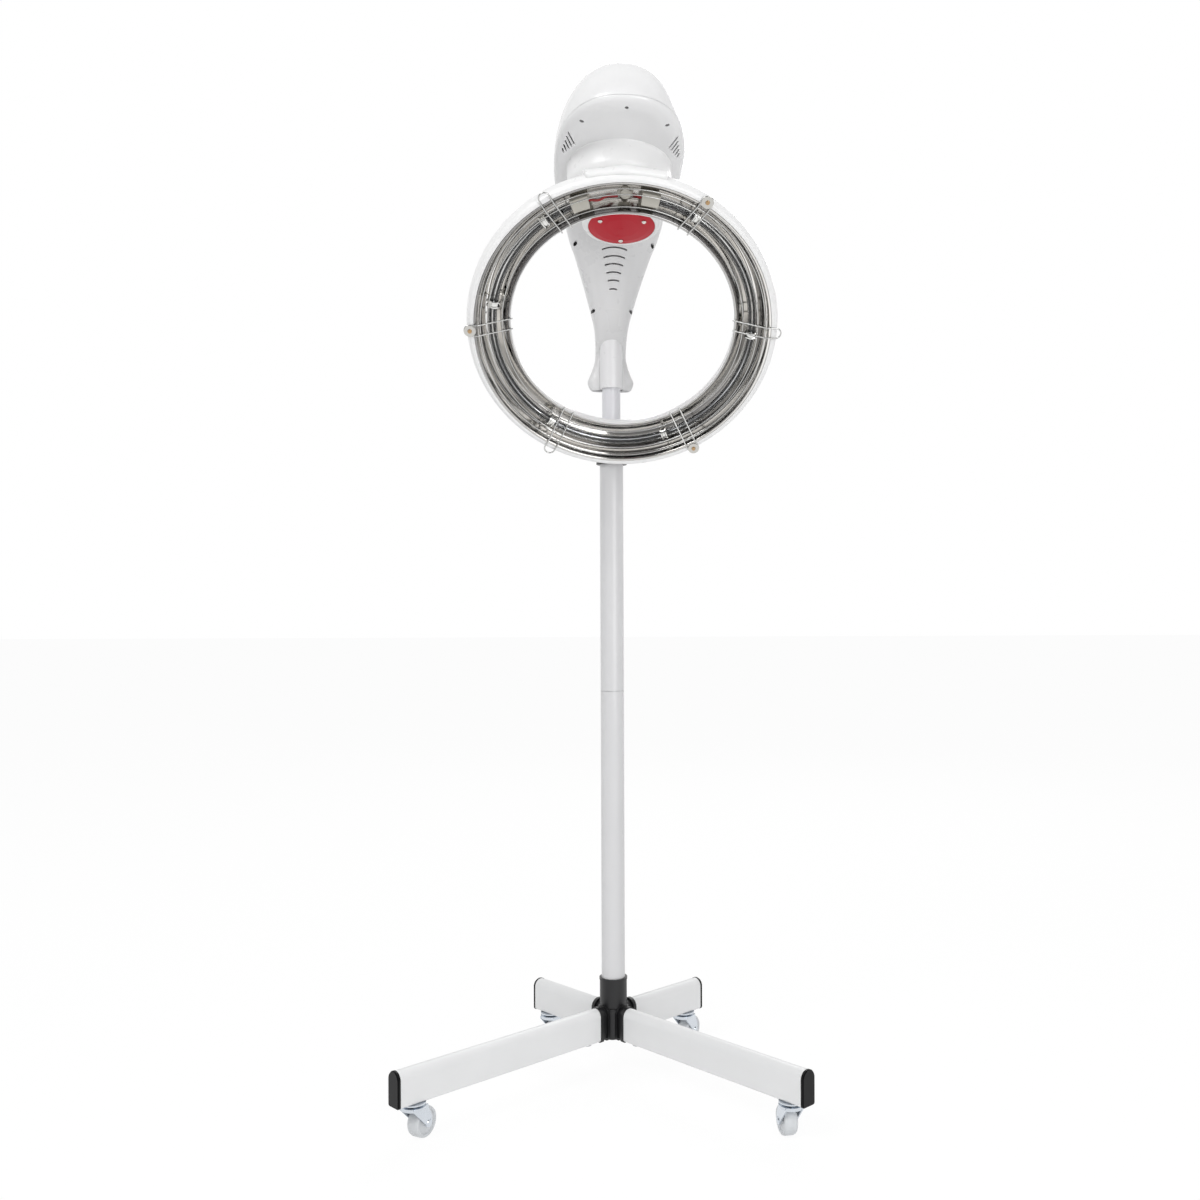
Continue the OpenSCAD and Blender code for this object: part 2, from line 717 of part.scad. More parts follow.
module panel_block(w, h, from, to, r) {
    translate(panel_at) rotate([-panel_tilt, 0, 0]) translate([0, 0, from]) rounded_plate(w, h, to - from, r);
}

module head_top_cover() color("white") on_axis() difference() {
    union() {
        loft(dome_rings(0, dome_h));
        panel_block(panel_w + 10, panel_h + 10, -20, panel_t / 2, 8);
    }
    loft(concat([head_ring(head_wall, 1, lip_z - 10)], dome_rings(head_wall, dome_h - head_wall)));
    panel_block(panel_w - 6, panel_h - 6, -30, 10, 3);
    panel_block(panel_w + 2 * clear, panel_h + 2 * clear, -panel_t / 2, 10, 5);
}

module head_vents() {
    for (i = [0 : 4], side = [-1, 1])
        let (from = mix([65.2, -51.5], [71.2, -17.8], i / 4), to = mix([57.4, -31.6], [69.6, -10.7], i / 4))
        translate([0, 0, floor_z - 1])
            slot_between([side * from[0], from[1]], [side * to[0], to[1]], vent_gap, 20);
}

head_screws_at = [[0, -106], [50, -76], [-50, -76], [47, 126], [-47, 126]];

module head_lower_shell() color("white") on_axis() difference() {
    union() {
        difference() {
            loft([for (step = brim) head_ring(step[0], 1, floor_z + step[1])]);
            loft([
                for (step = concat(brim, [[0, lip_z - floor_z + 5]]))
                    head_ring(step[0] + head_wall, 1, floor_z + head_wall + step[1])
            ]);
        }
        // A skirt stands up inside the cover and leans in with it
        difference() {
            loft([
                head_ring(head_wall + clear, 1, floor_z + 6.8),
                head_ring(head_wall + clear + skirt_lean, 1, lip_z + 3)
            ]);
            loft([for (z = [floor_z + 4, lip_z + 5]) head_ring(head_wall + clear + 1.8, 1, z)]);
        }
        translate([0, drum_mid, 0]) {
            translate([0, 0, drum_z + drum_edge]) cylinder(d = drum_d, h = floor_z - drum_z - drum_edge + 1);
            translate([0, 0, drum_z]) rotate_extrude() {
                square([drum_d / 2 - drum_edge, drum_edge + 1]);
                intersection() {
                    translate([drum_d / 2 - drum_edge, drum_edge]) circle(drum_edge);
                    translate([drum_d / 2 - drum_edge, 0]) square([drum_edge, drum_edge]);
                }
            }
            translate([0, 0, floor_z + cove_sink - cove]) rotate_extrude() difference() {
                translate([drum_d / 2 - 1, 0]) square([cove + 1, cove + 0.5]);
                translate([drum_d / 2 + cove - 0.4, 0.4]) circle(cove);
            }
        }
        for (place = head_screws_at)
            translate([place[0], place[1], floor_z + head_wall]) cylinder(r = 5, h = head_wall + 2);
    }
    translate([0, drum_mid, drum_z + head_wall]) rotate_extrude() {
        square([drum_d / 2 - drum_edge, 80]);
        translate([0, drum_edge - head_wall]) square([drum_d / 2 - head_wall, 80]);
        translate([drum_d / 2 - drum_edge, drum_edge - head_wall]) circle(drum_edge - head_wall);
    }
    cylinder(r = shaft_d / 2 + 2, h = 400);
    translate([0, 138, floor_z - 1]) cylinder(r = 14, h = 20);
    head_vents();
    for (place = head_screws_at) {
        translate([place[0], place[1], floor_z - 10]) cylinder(r = 3.2, h = 13);
        translate([place[0], place[1], floor_z - 10]) cylinder(r = 1.9, h = 40);
    }
}

module head_screws() color("dimgray") on_axis()
    for (place = head_screws_at)
        translate([place[0], place[1], floor_z + 1]) {
            cylinder(r = 3, h = 2);
            cylinder(r = 1.8, h = 12);
        }

module control_panel() color("#18181a") on_panel() difference() {
    translate([0, 0, -panel_t / 2]) rounded_plate(panel_w, panel_h, panel_t, 5);
    for (i = [-2 : 2])
        translate([i * button_pitch, -11, -5]) cylinder(r = button_d / 2 + clear, h = 10);
    translate([0, 9, panel_t / 2 - 1.2]) rounded_plate(46 + 2 * seat, 16 + 2 * seat, 3, 2);
    for (x = [-14, 0, 14])
        translate([x, 9, -5]) cylinder(r = 5, h = 10);
}

module display_window() color("#402020") on_panel()
    translate([0, 9, panel_t / 2 - 1.2]) rounded_plate(46, 16, 1.2, 2);

module control_board() color("darkgreen") on_panel() {
    translate([0, 0, board_z]) rounded_plate(56, 40, 1.6, 2);
    for (x = [-25, 25], y = [-1, 17])
        translate([x, y, board_z + 1.6]) cylinder(r = 2, h = -panel_t / 2 - board_z - 1.6);
    for (i = [-2 : 2])
        translate([i * button_pitch - 3, -14, board_z + 1.6]) cube([6, 6, 1.4]);
    translate([-20, 4, board_z + 1.6]) cube([40, 10, 4]);
}

module button(i) color("#5a5a60") on_panel() translate([i * button_pitch, -11, 0]) {
    translate([0, 0, -panel_t / 2 - clear]) cylinder(d = button_d, h = panel_t + clear + 1.2);
    translate([0, 0, panel_t / 2 + 1.2]) cylinder(d1 = button_d, d2 = button_d - 1.4, h = 0.6);
    translate([0, 0, -panel_t / 2 - clear - 1]) cylinder(d = button_d + 1.8, h = 1);
    translate([0, 0, board_z + 3 + button_travel + clear])
        cylinder(r = 1.5, h = -panel_t / 2 - clear - 1 - board_z - 3 - button_travel - clear);
}

// ---------------------------------------------------------------- orbit drive

module orbit_bearing() color("lightgray") on_axis() translate([0, 0, bearing_z]) difference() {
    union() {
        cylinder(r = bearing_r, h = bearing_t);
        cylinder(r = bearing_r + 6, h = 2.2);
    }
    translate([0, 0, -1]) cylinder(r = shaft_d / 2 + slip, h = bearing_t + 2);
    translate([0, 0, bearing_t - 0.8]) rotate_extrude() translate([bearing_r - 2.9, 0]) square([1, 2]);
}

posts_at = [[-44, 15], [44, 15], [0, 66]];

module drive_plate() color("silver") on_axis() difference() {
    union() {
        translate([0, drum_mid, drive_plate_z]) cylinder(r = drum_d / 2 - head_wall - 4, h = drive_plate_t);
        for (place = posts_at)
            translate([place[0], place[1], drum_z + head_wall]) cylinder(r = 4, h = drive_plate_z - drum_z);
    }
    translate([0, 0, drive_plate_z - 1]) cylinder(r = slip_ring_r + 2.5, h = 10);
    translate([0, gear_distance, drive_plate_z - 1]) cylinder(r = 6.2, h = 10);
}

module orbit_motor() color("dimgray") on_axis() translate([0, gear_distance, 0]) difference() {
    union() {
        translate([0, 0, drive_plate_z + drive_plate_t]) cylinder(d = motor_d, h = motor_l - 2);
        translate([0, 0, drive_plate_z + drive_plate_t + motor_l - 2])
            cylinder(d1 = motor_d, d2 = motor_d - 4, h = 2);
        translate([0, 0, drive_plate_z + 0.5]) cylinder(r = 6, h = 5);
        translate([-8, -2, drive_plate_z + drive_plate_t + motor_l]) cube([16, 4, 5]);
    }
    translate([0, 0, drive_plate_z - 1]) cylinder(r = motor_shaft_r + slip, h = 14);
}

// Involute spur gear: each tooth has two involute flanks between its root and its tip
function involute(base_r, a) = base_r * [cos(a) + a * PI / 180 * sin(a), sin(a) - a * PI / 180 * cos(a)];
function spin(p, a) = [p[0] * cos(a) - p[1] * sin(a), p[0] * sin(a) + p[1] * cos(a)];
function roll_at(base_r, r) = r <= base_r ? 0 : sqrt(pow(r / base_r, 2) - 1) * 180 / PI;

module spur_gear(teeth, t, play) {
    pitch_r = gear_module * teeth / 2;
    pressure = 20;
    base_r = pitch_r * cos(pressure);
    tip_r = pitch_r + 0.9 * gear_module;
    root_r = pitch_r - 1.25 * gear_module;
    at_pitch = roll_at(base_r, pitch_r);
    swung = atan2(involute(base_r, at_pitch)[1], involute(base_r, at_pitch)[0]);
    half = 90 / teeth - play / pitch_r * 180 / PI / 2;
    steps = [0 : 0.25 : 1];
    flank = [for (s = steps) spin(involute(base_r, s * roll_at(base_r, tip_r)), -swung - half)];
    foot = root_r / norm(flank[0]) * flank[0];
    side = concat([foot], flank);
    linear_extrude(t) polygon([
        for (i = [0 : teeth - 1])
            each concat(
                [for (p = side) spin(p, 360 * i / teeth)],
                [for (p = flipped(side)) spin([p[0], -p[1]], 360 * i / teeth)]
            )
    ]);
}

module motor_pinion() color("goldenrod") on_axis() translate([0, gear_distance, 0]) {
    // A pinion tooth points at a gap of the orbit gear
    translate([0, 0, gear_z - 0.5]) rotate([0, 0, pinion_phase])
        spur_gear(pinion_teeth, gear_t + 1, backlash);
    translate([0, 0, gear_z + gear_t]) cylinder(r = motor_shaft_r, h = drive_plate_z - gear_z - gear_t + 10);
}

gear_phase = 0;
// The orbit gear's tooth nearest the pinion, turned from the line between the two axes
gear_lead = (90 - gear_phase) % (360 / gear_teeth);
pinion_phase = -90 + 180 / pinion_teeth - gear_lead * gear_teeth / pinion_teeth;

module orbit_gear() color("ivory") on_axis() difference() {
    union() {
        translate([0, 0, gear_z]) rotate([0, 0, gear_phase]) spur_gear(gear_teeth, gear_t, backlash);
        translate([0, 0, bearing_z + bearing_t + clear]) cylinder(r = 12, h = gear_z - bearing_z - bearing_t);
    }
    translate([0, 0, gear_z - 10]) cylinder(r = shaft_d / 2 + slip, h = 30);
}

module orbit_shaft() color("silver") on_orbit() difference() {
    union() {
        translate([0, 0, hub_top - hub_wall - 4]) cylinder(r = 18, h = 4);
        translate([0, 0, hub_top - hub_wall - 1])
            cylinder(r = shaft_d / 2, h = shaft_top - hub_top + hub_wall + 1);
    }
    translate([0, 0, hub_top - 20]) cylinder(r = shaft_d / 2 - 3, h = shaft_top);
}

module slip_ring() color("peru") on_orbit() translate([0, 0, slip_ring_z]) difference() {
    rotate_extrude() difference() {
        square([slip_ring_r, slip_ring_l]);
        for (i = [0 : 3])
            translate([slip_ring_r - 0.8, 1.4 + 4.2 * i]) square([1, 1.4]);
    }
    translate([0, 0, -1]) cylinder(r = shaft_d / 2 + slip, h = slip_ring_l + 2);
}

module brush_block() color("#3a3a3c") on_axis() {
    translate([-36, -9, drive_plate_z + drive_plate_t]) cube([17, 18, 20]);
    for (i = [0 : 2])
        translate([-20, 0, slip_ring_z + 4.2 + 4.2 * i]) rotate([0, 90, 0])
            cylinder(r = 1.2, h = 20 - slip_ring_r - clear);
}

// ---------------------------------------------------------------- hub

lens_screws_at = [for (a = [90, 210, 330]) lens_screw_r * [cos(a), sin(a)]];

module hub_shell() color("white") on_orbit() difference() {
    rotate_extrude() {
        translate([0, hub_bottom + 6]) square([hub_d / 2, hub_top - hub_bottom - 10]);
        translate([0, hub_bottom]) square([hub_d / 2 - 6, 7]);
        translate([hub_d / 2 - 6, hub_bottom + 6]) circle(6);
        translate([0, hub_top - 5]) square([hub_d / 2 - 4, 5]);
        translate([hub_d / 2 - 4, hub_top - 4]) circle(4);
    }
    difference() {
        union() {
            translate([0, 0, hub_bottom - 1]) cylinder(r = lens_d / 2 + clear, h = 5);
            translate([0, 0, hub_bottom + 3.5])
                cylinder(r = hub_d / 2 - hub_wall, h = hub_top - hub_wall - hub_bottom - 3.5);
        }
        for (place = lens_screws_at)
            translate([place[0], place[1], hub_bottom + 1.5]) cylinder(r = 4, h = 60);
    }
    cylinder(r = shaft_d / 2 + slip, h = 400);
    for (place = lens_screws_at)
        translate([place[0], place[1], hub_bottom - 2]) cylinder(r = 1.6 + slip, h = 15);
}

module hub_lens() color("crimson") on_orbit() difference() {
    rotate_extrude() polygon([
        [0, hub_bottom - 2], [lens_d / 4, hub_bottom - 1.75], [lens_d * 0.4, hub_bottom - 1],
        [lens_d / 2, hub_bottom + 0.2], [lens_d / 2, hub_bottom + 1.5], [0, hub_bottom + 1.5]
    ]);
    for (place = lens_screws_at)
        translate([place[0], place[1], hub_bottom - 5]) cylinder(r = 1.6 + slip, h = 15);
}

module lens_screws() color("silver") on_orbit()
    for (place = lens_screws_at)
        translate([place[0], place[1], 0]) {
            translate([0, 0, hub_bottom - 3.2]) cylinder(r1 = 1.8, r2 = 2.8, h = 1.2);
            translate([0, 0, hub_bottom - 2]) cylinder(r = 1.6, h = 12);
        }

// ---------------------------------------------------------------- ring

shell_out = rim_r + shell_w;
shell_in = inner_rim_r - 1.2;
shell_back = trough_z - 9;
shell_heel = shell_out - 14;
shell_middle = (shell_out + shell_in) / 2 - 5;

// The shell's outside from its outer lip round the back to its inner lip, as [radius, z]
shell_line = [
    [rim_r + 0.6, rim_z - 0.2], [shell_out - 4, rim_z - 1], [shell_out - 0.8, rim_z - 6],
    [shell_out, rim_z - 15], [shell_out - 4.4, rim_z - 28], [shell_heel, trough_z + 1],
    [shell_heel - 10, shell_back + 3], [shell_middle, shell_back],
    [shell_in + 12, shell_back + 2.5], [shell_in + 4.5, shell_back + 10],
    [shell_in + 0.7, shell_back + 20], [shell_in, inner_rim_z - 1]
];

// The bridge: its saddle on the ring, the rib along it and the line of its top
saddle_w = 92;
saddle_from = 4;           // the points of the shell's line, from its inner lip, that the saddle spans
saddle_to = 9;
pad_t = 7;
bump_h = 2.2;
bump_r = 68;
bump_w = 44;
arm_end = ring_top(shell_heel, trough_z + 1) + [0, pad_t];
arm_start = [-hub_d / 2 - 8, hub_top - 13];
arm_slope = atan2(arm_start[1] - arm_end[1], arm_start[0] - arm_end[0]);
arm_run = norm(arm_start - arm_end) + 8;

// The reflector's bright side from its outer rim to its inner rim, with pressed ridges
reflector_line = [
    [rim_r, rim_z], [rim_r - 2.5, rim_z - 1], [rim_r - 3.4, rim_z - 9], [rim_r - 5, rim_z - 10],
    [rim_r - 6, rim_z - 20], [rim_r - 8, rim_z - 21.5], [rim_r - 11, trough_z + 7],
    [rim_r - 14, trough_z + 5.5], [heater_r, trough_z], [heater_r - 9, trough_z + 3],
    [heater_r - 11, trough_z + 6], [inner_rim_r + 5, trough_z + 12], [inner_rim_r + 3.6, inner_rim_z - 5],
    [inner_rim_r + 2.4, inner_rim_z], [inner_rim_r, inner_rim_z + 0.3]
];

module ring_shell() color("white") on_ring() {
    difference() {
        union() {
            rotate_extrude($fn = 128) polygon(band(flipped(shell_line), shell_wall));
            for (a = eye_angles)
                rotate([0, 0, a]) translate([eye_at - 0.6, 0, rim_z - 8]) cylinder(r = 3.8, h = 8.6);
        }
        for (a = eye_angles)
            rotate([0, 0, a]) translate([eye_at, 0, rim_z - 9]) cylinder(r = 1.6, h = 12);
    }
}

module ring_reflector() color("silver") on_ring()
    rotate_extrude($fn = 128) polygon(band(reflector_line, 0.9));

// The section of everything behind the reflector's bright side, which feet that stand on it are cut to
module behind_reflector() {
    last = len(reflector_line) - 1;
    polygon(concat(
        [for (i = [0 : last]) side_of(reflector_line, i, -seat)],
        [[inner_rim_r, shell_back], [rim_r, shell_back]]
    ));
}

// y and z, on the orbit axis's frame, of a point at the top of the ring
function ring_top(r, z) =
    let (lean = 90 + ring_tilt + axis_tilt)
    [r * cos(lean) - z * sin(lean), r * sin(lean) + z * cos(lean)];

// A saddle on the outer half of the shell's back, thick mm deep, round an axis raised by lift
module saddle(thick, lift) {
    outer = [for (i = [saddle_from : saddle_to]) side_of(flipped(shell_line), i, -thick)];
    inner = [for (i = [saddle_from : saddle_to]) side_of(flipped(shell_line), i, 1)];
    turned = asin(saddle_w / 2 / (shell_out - lift));
    translate([0, lift, 0]) rotate([0, 0, 90 - turned]) rotate_extrude(angle = 2 * turned, $fn = 128)
        polygon([for (p = concat(outer, flipped(inner))) [p[0] - lift, p[1]]]);
}

module ring_arm() color("white") difference() {
    union() {
        on_ring() {
            saddle(pad_t, 0);
            saddle(pad_t + bump_h, shell_out + pad_t + bump_h - bump_r);
        }
        on_orbit() {
            translate([-arm_w / 2, 0, 0]) rotate([90, 0, 90]) linear_extrude(arm_w) polygon(concat(
                [[0, hub_bottom + 3], ring_top(shell_middle, shell_back + 8), ring_top(rim_r, trough_z + 6)],
                [arm_end, arm_start, [0, arm_start[1]]]
            ));
            // A low round rib runs along the bridge to the hub
            translate([0, arm_end[0], arm_end[1]]) rotate([arm_slope, 0, 0]) intersection() {
                translate([0, 0, bump_h - bump_r]) rotate([-90, 0, 0])
                    cylinder(r = bump_r, h = arm_run, $fn = 128);
                translate([-bump_w / 2, 0, -bump_w / 4]) cube([bump_w, arm_run, bump_w]);
            }
        }
    }
    on_orbit() translate([0, 0, hub_bottom - 20]) cylinder(r = hub_d / 2 + seat, h = 100);
    on_ring() rotate_extrude($fn = 128) polygon([
        for (i = [0 : len(shell_line) - 1]) side_of(flipped(shell_line), i, -seat)
    ]);
    on_ring() translate([0, 0, inner_rim_z - 2]) cylinder(r = rim_r, h = 100);
}

eye_angles = [60, 180, 300];
loop_angles = [0, 120, 240];
heater_in = heater_d / 2 - heater_wall;

module heater_arc() rotate([0, 0, heater_from]) rotate_extrude(angle = heater_span, $fn = 128)
    translate([heater_r, heater_z]) children();

module heater_tube() color("lavender") on_ring() heater_arc() difference() {
    circle(heater_d / 2, $fn = 32);
    circle(heater_in, $fn = 32);
}

module heater_filaments() color("#3a3230") on_ring() for (x = [-1, 1])
    heater_arc() translate([x * heater_in * 0.45, 0]) circle(0.8, $fn = 16);

block_span = 7.4;

module heater_end_blocks() color("wheat") on_ring()
    for (a = [heater_from - block_span, heater_from + heater_span - 360])
        rotate([0, 0, a]) rotate_extrude(angle = block_span, $fn = 128) {
            translate([heater_r - 7, heater_z - 7]) square([14, 14]);
            difference() {
                translate([heater_r - 3, trough_z]) square([6, heater_z - trough_z - 6]);
                behind_reflector();
            }
        }

// A clip grips the tube between two flanges and stands on the reflector's floor
module tube_clips() color("lightgray") on_ring() difference() {
    for (a = clip_angles)
        rotate([0, 0, a]) translate([heater_r, 0, heater_z]) rotate([90, 0, 0]) difference() {
            union() {
                translate([0, 0, -6]) cylinder(r = heater_d / 2 + 1.6, h = 12);
                for (z = [-7, 5.5])
                    translate([0, 0, z]) cylinder(r = heater_d / 2 + 2.6, h = 1.5);
                translate([0, -heater_d / 2, 0]) rotate([90, 0, 0])
                    cylinder(r = 2, h = heater_z - trough_z - heater_d / 2);
            }
            translate([0, 0, -10]) cylinder(r = heater_d / 2 + clear, h = 20);
        }
    rotate_extrude($fn = 128) behind_reflector();
}

module thermostat() color("tan") on_ring() translate([0, heater_r, 0]) {
    translate([0, 0, trough_z + 2.4]) cylinder(r = 2.5, h = thermostat_z - trough_z);
    translate([0, 0, thermostat_z]) cylinder(r = 7, h = 4);
    translate([0, 0, thermostat_z + 3]) cylinder(r = 5.5, h = 5);
    for (x = [-1, 1])
        translate([x * 7 - 2, -3, thermostat_z + 2]) cube([4, 6, 3]);
}

lead_gap = 0.08;           // angle between an end block's face and its lead's end

// Two leads hang in shallow waves between the end blocks and the thermostat
function lead_point(side, t) =
    let (
        from = side > 0 ? heater_from + heater_span - 360 + block_span : heater_from - block_span,
        to = 90 - side * 3.4,
        a = mix(from + side * lead_gap, to, t),
        r = heater_r - 0.1 * abs(to - from) * (1 - cos(540 * t)),
        z = mix(heater_z, thermostat_z + 6.6, t * t)
    )
    [r * cos(a), r * sin(a), z];

module heater_leads() color("firebrick") on_ring()
    for (side = [-1, 1])
        swept([for (t = [0 : 0.1 : 1.01]) lead_point(side, t)], 1.4, [0, 0, 1]);

// ---------------------------------------------------------------- guard

function guard_height(r) = guard_inner_z + (r - inner_rim_r) * guard_slope;

module wire_ring(r, z) translate([0, 0, z]) rotate_extrude($fn = 128)
    translate([r, 0]) circle(wire_d / 2, $fn = 16);

module wire_run(length) rotate([0, 90, 0]) cylinder(r = wire_d / 2, h = length, $fn = 16);

module wire_bend(r, angle) rotate_extrude(angle = angle, $fn = 64)
    translate([r, 0]) circle(wire_d / 2, $fn = 16);

// A hairpin: two wires run out over the rim, bend level and meet in a half round
module guard_pair(loop_at) {
    cut = guard_bend * tan(guard_lean / 2);
    for (side = [-1, 1]) translate([0, side * pair_gap / 2, 0]) {
        translate([guard_end_r, 0, guard_height(guard_end_r)]) rotate([0, -guard_lean, 0])
            wire_run((guard_bend_r - guard_end_r) / cos(guard_lean) - cut);
        translate([guard_bend_r + cut, 0, guard_z - guard_bend]) rotate([90, -90, 0])
            wire_bend(guard_bend, guard_lean);
        translate([guard_bend_r + cut, 0, guard_z]) wire_run(loop_at - guard_bend_r - cut);
    }
    translate([loop_at, 0, guard_z]) rotate([0, 0, -90]) wire_bend(pair_gap / 2, 180);
}

module guard_wires() color("gainsboro") on_ring() {
    for (r = guard_radii)
        wire_ring(r, guard_height(r) - wire_sink);
    for (a = loop_angles)
        rotate([0, 0, a]) guard_pair(eye_at + 0.6);
    for (a = eye_angles)
        rotate([0, 0, a]) guard_pair(eye_at);
}

module guard_screws() color("goldenrod") on_ring()
    for (a = eye_angles)
        rotate([0, 0, a]) translate([eye_at, 0, 0]) {
            translate([0, 0, rim_z - 8.5]) cylinder(r = 1.55, h = guard_z - rim_z + 10);
            translate([0, 0, guard_z + wire_d / 2 + 0.1]) cylinder(r = pair_gap / 2 + 0.4, h = 0.8);
            translate([0, 0, guard_z + wire_d / 2 + 0.5]) cylinder(r1 = 2.8, r2 = 2.2, h = 1.8);
        }

// ---------------------------------------------------------------- assembly

base_hub();
front_legs();
rear_legs();
leg_end_caps();
leg_bolts();
caster_stems();
lower_tube();
tube_joiner();
upper_tube();
height_collar();
collar_bush();
clamp_knob();
inner_tube();
mast_stop();
neck_socket();
neck_front_shell();
neck_rear_shell();
neck_screws();
head_lower_shell();
head_top_cover();
head_screws();
control_panel();
display_window();
control_board();
power_inlet();
drive_plate();
orbit_motor();
orbit_bearing();
brush_block();
motor_pinion();
button(-2);  // button_power
button(-1);  // button_start
button(0);  // button_up
button(1);  // button_down
button(2);  // button_mode
orbit_shaft();
orbit_gear();
slip_ring();
hub_shell();
hub_lens();
lens_screws();
ring_arm();
ring_shell();
ring_reflector();
heater_tube();
heater_filaments();
heater_end_blocks();
tube_clips();
thermostat();
heater_leads();
guard_wires();
guard_screws();
caster_fork(0);  // caster_fork_fl
caster_fork(1);  // caster_fork_fr
caster_fork(2);  // caster_fork_rl
caster_fork(3);  // caster_fork_rr
caster_wheel(0);  // caster_wheel_fl
caster_wheel(1);  // caster_wheel_fr
caster_wheel(2);  // caster_wheel_rl
caster_wheel(3);  // caster_wheel_rr
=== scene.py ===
# %% [markdown]
# # A ring hair dryer on a rolling stand
# A salon hair dryer is mostly moulded plastic, painted tube and bright metal. The solids come from CAD
# and already sit where they belong. This lesson dresses them: it gives each one its finish, and it
# remodels the shells whose smooth curves need more than flat facets.

# %% Load the solids
from math import sin, cos, tan, atan, atan2, acos, exp, pi, radians, copysign, hypot, sqrt

import bpy
import bmesh
from mathutils import Matrix, Vector


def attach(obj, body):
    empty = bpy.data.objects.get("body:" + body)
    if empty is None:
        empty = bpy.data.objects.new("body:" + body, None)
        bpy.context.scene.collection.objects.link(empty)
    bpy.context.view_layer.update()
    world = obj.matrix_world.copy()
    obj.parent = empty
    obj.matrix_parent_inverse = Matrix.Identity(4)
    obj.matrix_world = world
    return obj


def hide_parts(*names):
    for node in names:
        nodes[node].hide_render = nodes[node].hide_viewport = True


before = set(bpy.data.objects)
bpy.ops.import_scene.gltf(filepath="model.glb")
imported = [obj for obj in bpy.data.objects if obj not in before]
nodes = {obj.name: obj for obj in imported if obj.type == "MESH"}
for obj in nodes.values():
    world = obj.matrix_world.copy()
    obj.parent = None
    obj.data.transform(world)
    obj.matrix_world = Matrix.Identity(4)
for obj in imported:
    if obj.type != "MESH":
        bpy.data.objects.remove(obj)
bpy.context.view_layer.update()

# %% [markdown]
# The camera stands low and far enough back that the pole stays upright in the picture. Its height is
# half the stand's, so it needs no tilt, and a small sideways shift frames the stand instead of a turn,
# which would make the uprights lean. It is held a fifth of a degree out of level.

# %% Camera
eye = bpy.data.cameras.new("eye")
eye.sensor_width = 36.0
eye.lens = 37.08
eye.shift_x = -0.07279
eye.clip_end = 60.0
camera = bpy.data.objects.new("eye", eye)
camera.location = (0.1035, -1.697, 0.643)
camera.rotation_euler = (pi / 2, radians(0.21), 0.0)
bpy.context.scene.collection.objects.link(camera)
bpy.context.scene.camera = camera
print("camera at", tuple(round(v, 4) for v in camera.location))

# %% [markdown]
# Shader maths reads best as plain arithmetic. One small class wraps a socket, so that `0.05 + 0.08 * streaks`
# adds the Math nodes by itself, and one method makes every other node.


# %% Shader helpers
class Value:
    """A socket that can be used in arithmetic."""

    def __init__(self, book, socket):
        self.book = book
        self.socket = socket

    def _math(self, operation, other):
        return self.book.node("ShaderNodeMath", {"operation": operation}, {0: self, 1: other})

    def __add__(self, other):
        return self._math("ADD", other)

    def __sub__(self, other):
        return self._math("SUBTRACT", other)

    def __mul__(self, other):
        return self._math("MULTIPLY", other)

    __radd__ = __add__
    __rmul__ = __mul__

    def at_least(self, other):
        return self._math("MAXIMUM", other)

    def over(self, other):
        return self._math("GREATER_THAN", other)


class Book:
    """A material's nodes, with its Principled shader's sockets set by name."""

    def __init__(self, name):
        self.material = bpy.data.materials.new(name)
        self.material.use_nodes = True
        self.tree = self.material.node_tree
        self.shader = self.tree.nodes["Principled BSDF"]

    def node(self, kind, settings=None, inputs=None, out=0):
        """Adds a node; a colour ramp's settings are its stops."""
        made = self.tree.nodes.new(kind)
        for key, value in (settings or {}).items():
            if key == "stops":
                ramp = made.color_ramp
                while len(ramp.elements) < len(value):
                    ramp.elements.new(0.5)
                for element, (place, colour) in zip(ramp.elements, value):
                    element.position = place
                    element.color = colour
            else:
                setattr(made, key, value)
        for key, value in (inputs or {}).items():
            self.plug(made.inputs[key], value)
        return Value(self, made.outputs[out])

    def plug(self, socket, value):
        """Links a Value to a socket, or sets a constant on it."""
        if isinstance(value, Value):
            self.tree.links.new(value.socket, socket)
        else:
            socket.default_value = value

    def set(self, **values):
        for key, value in values.items():
            self.plug(self.shader.inputs[key.replace("_", " ")], value)
        return self

    def here(self):
        """Object coordinates, which are the room's, because every object stays at the origin."""
        return self.node("ShaderNodeTexCoord", out=3)

    def place(self, scale=(1.0, 1.0, 1.0)):
        return self.node("ShaderNodeMapping", None, {"Vector": self.here(), "Scale": scale})

    def noise(self, size, detail=3.0, rough=0.5, where=None):
        where = where or self.place()
        return self.node("ShaderNodeTexNoise", None,
                         {"Vector": where, "Scale": 1.0 / size, "Detail": detail, "Roughness": rough})

    def blend(self, factor, low, high):
        mixed = self.node("ShaderNodeMix", {"data_type": "RGBA"}, out=2)
        made = mixed.socket.node
        for socket, value in ((made.inputs[0], factor), (made.inputs[6], low), (made.inputs[7], high)):
            self.plug(socket, value)
        return mixed

    def relief(self, height, depth):
        bump = self.node("ShaderNodeBump", None, {"Height": height, "Distance": depth, "Strength": 1.0})
        return self.set(Normal=bump)

    def vector(self, operation, a, b=(0.0, 0.0, 0.0), out=0):
        return self.node("ShaderNodeVectorMath", {"operation": operation}, {0: a, 1: b}, out=out)

    def polar(self, where):
        """Radius and height about a frame's axis, in metres."""
        middle = where.translation * 0.001
        axis = where.to_3x3() @ Vector((0.0, 0.0, 1.0))
        away = self.vector("SUBTRACT", self.here(), tuple(middle))
        height = self.vector("DOT_PRODUCT", away, tuple(axis), 1)
        rise = self.node("ShaderNodeVectorMath", {"operation": "SCALE"}, {0: tuple(axis), 3: height})
        return self.vector("LENGTH", self.vector("SUBTRACT", away, rise), out=1), height


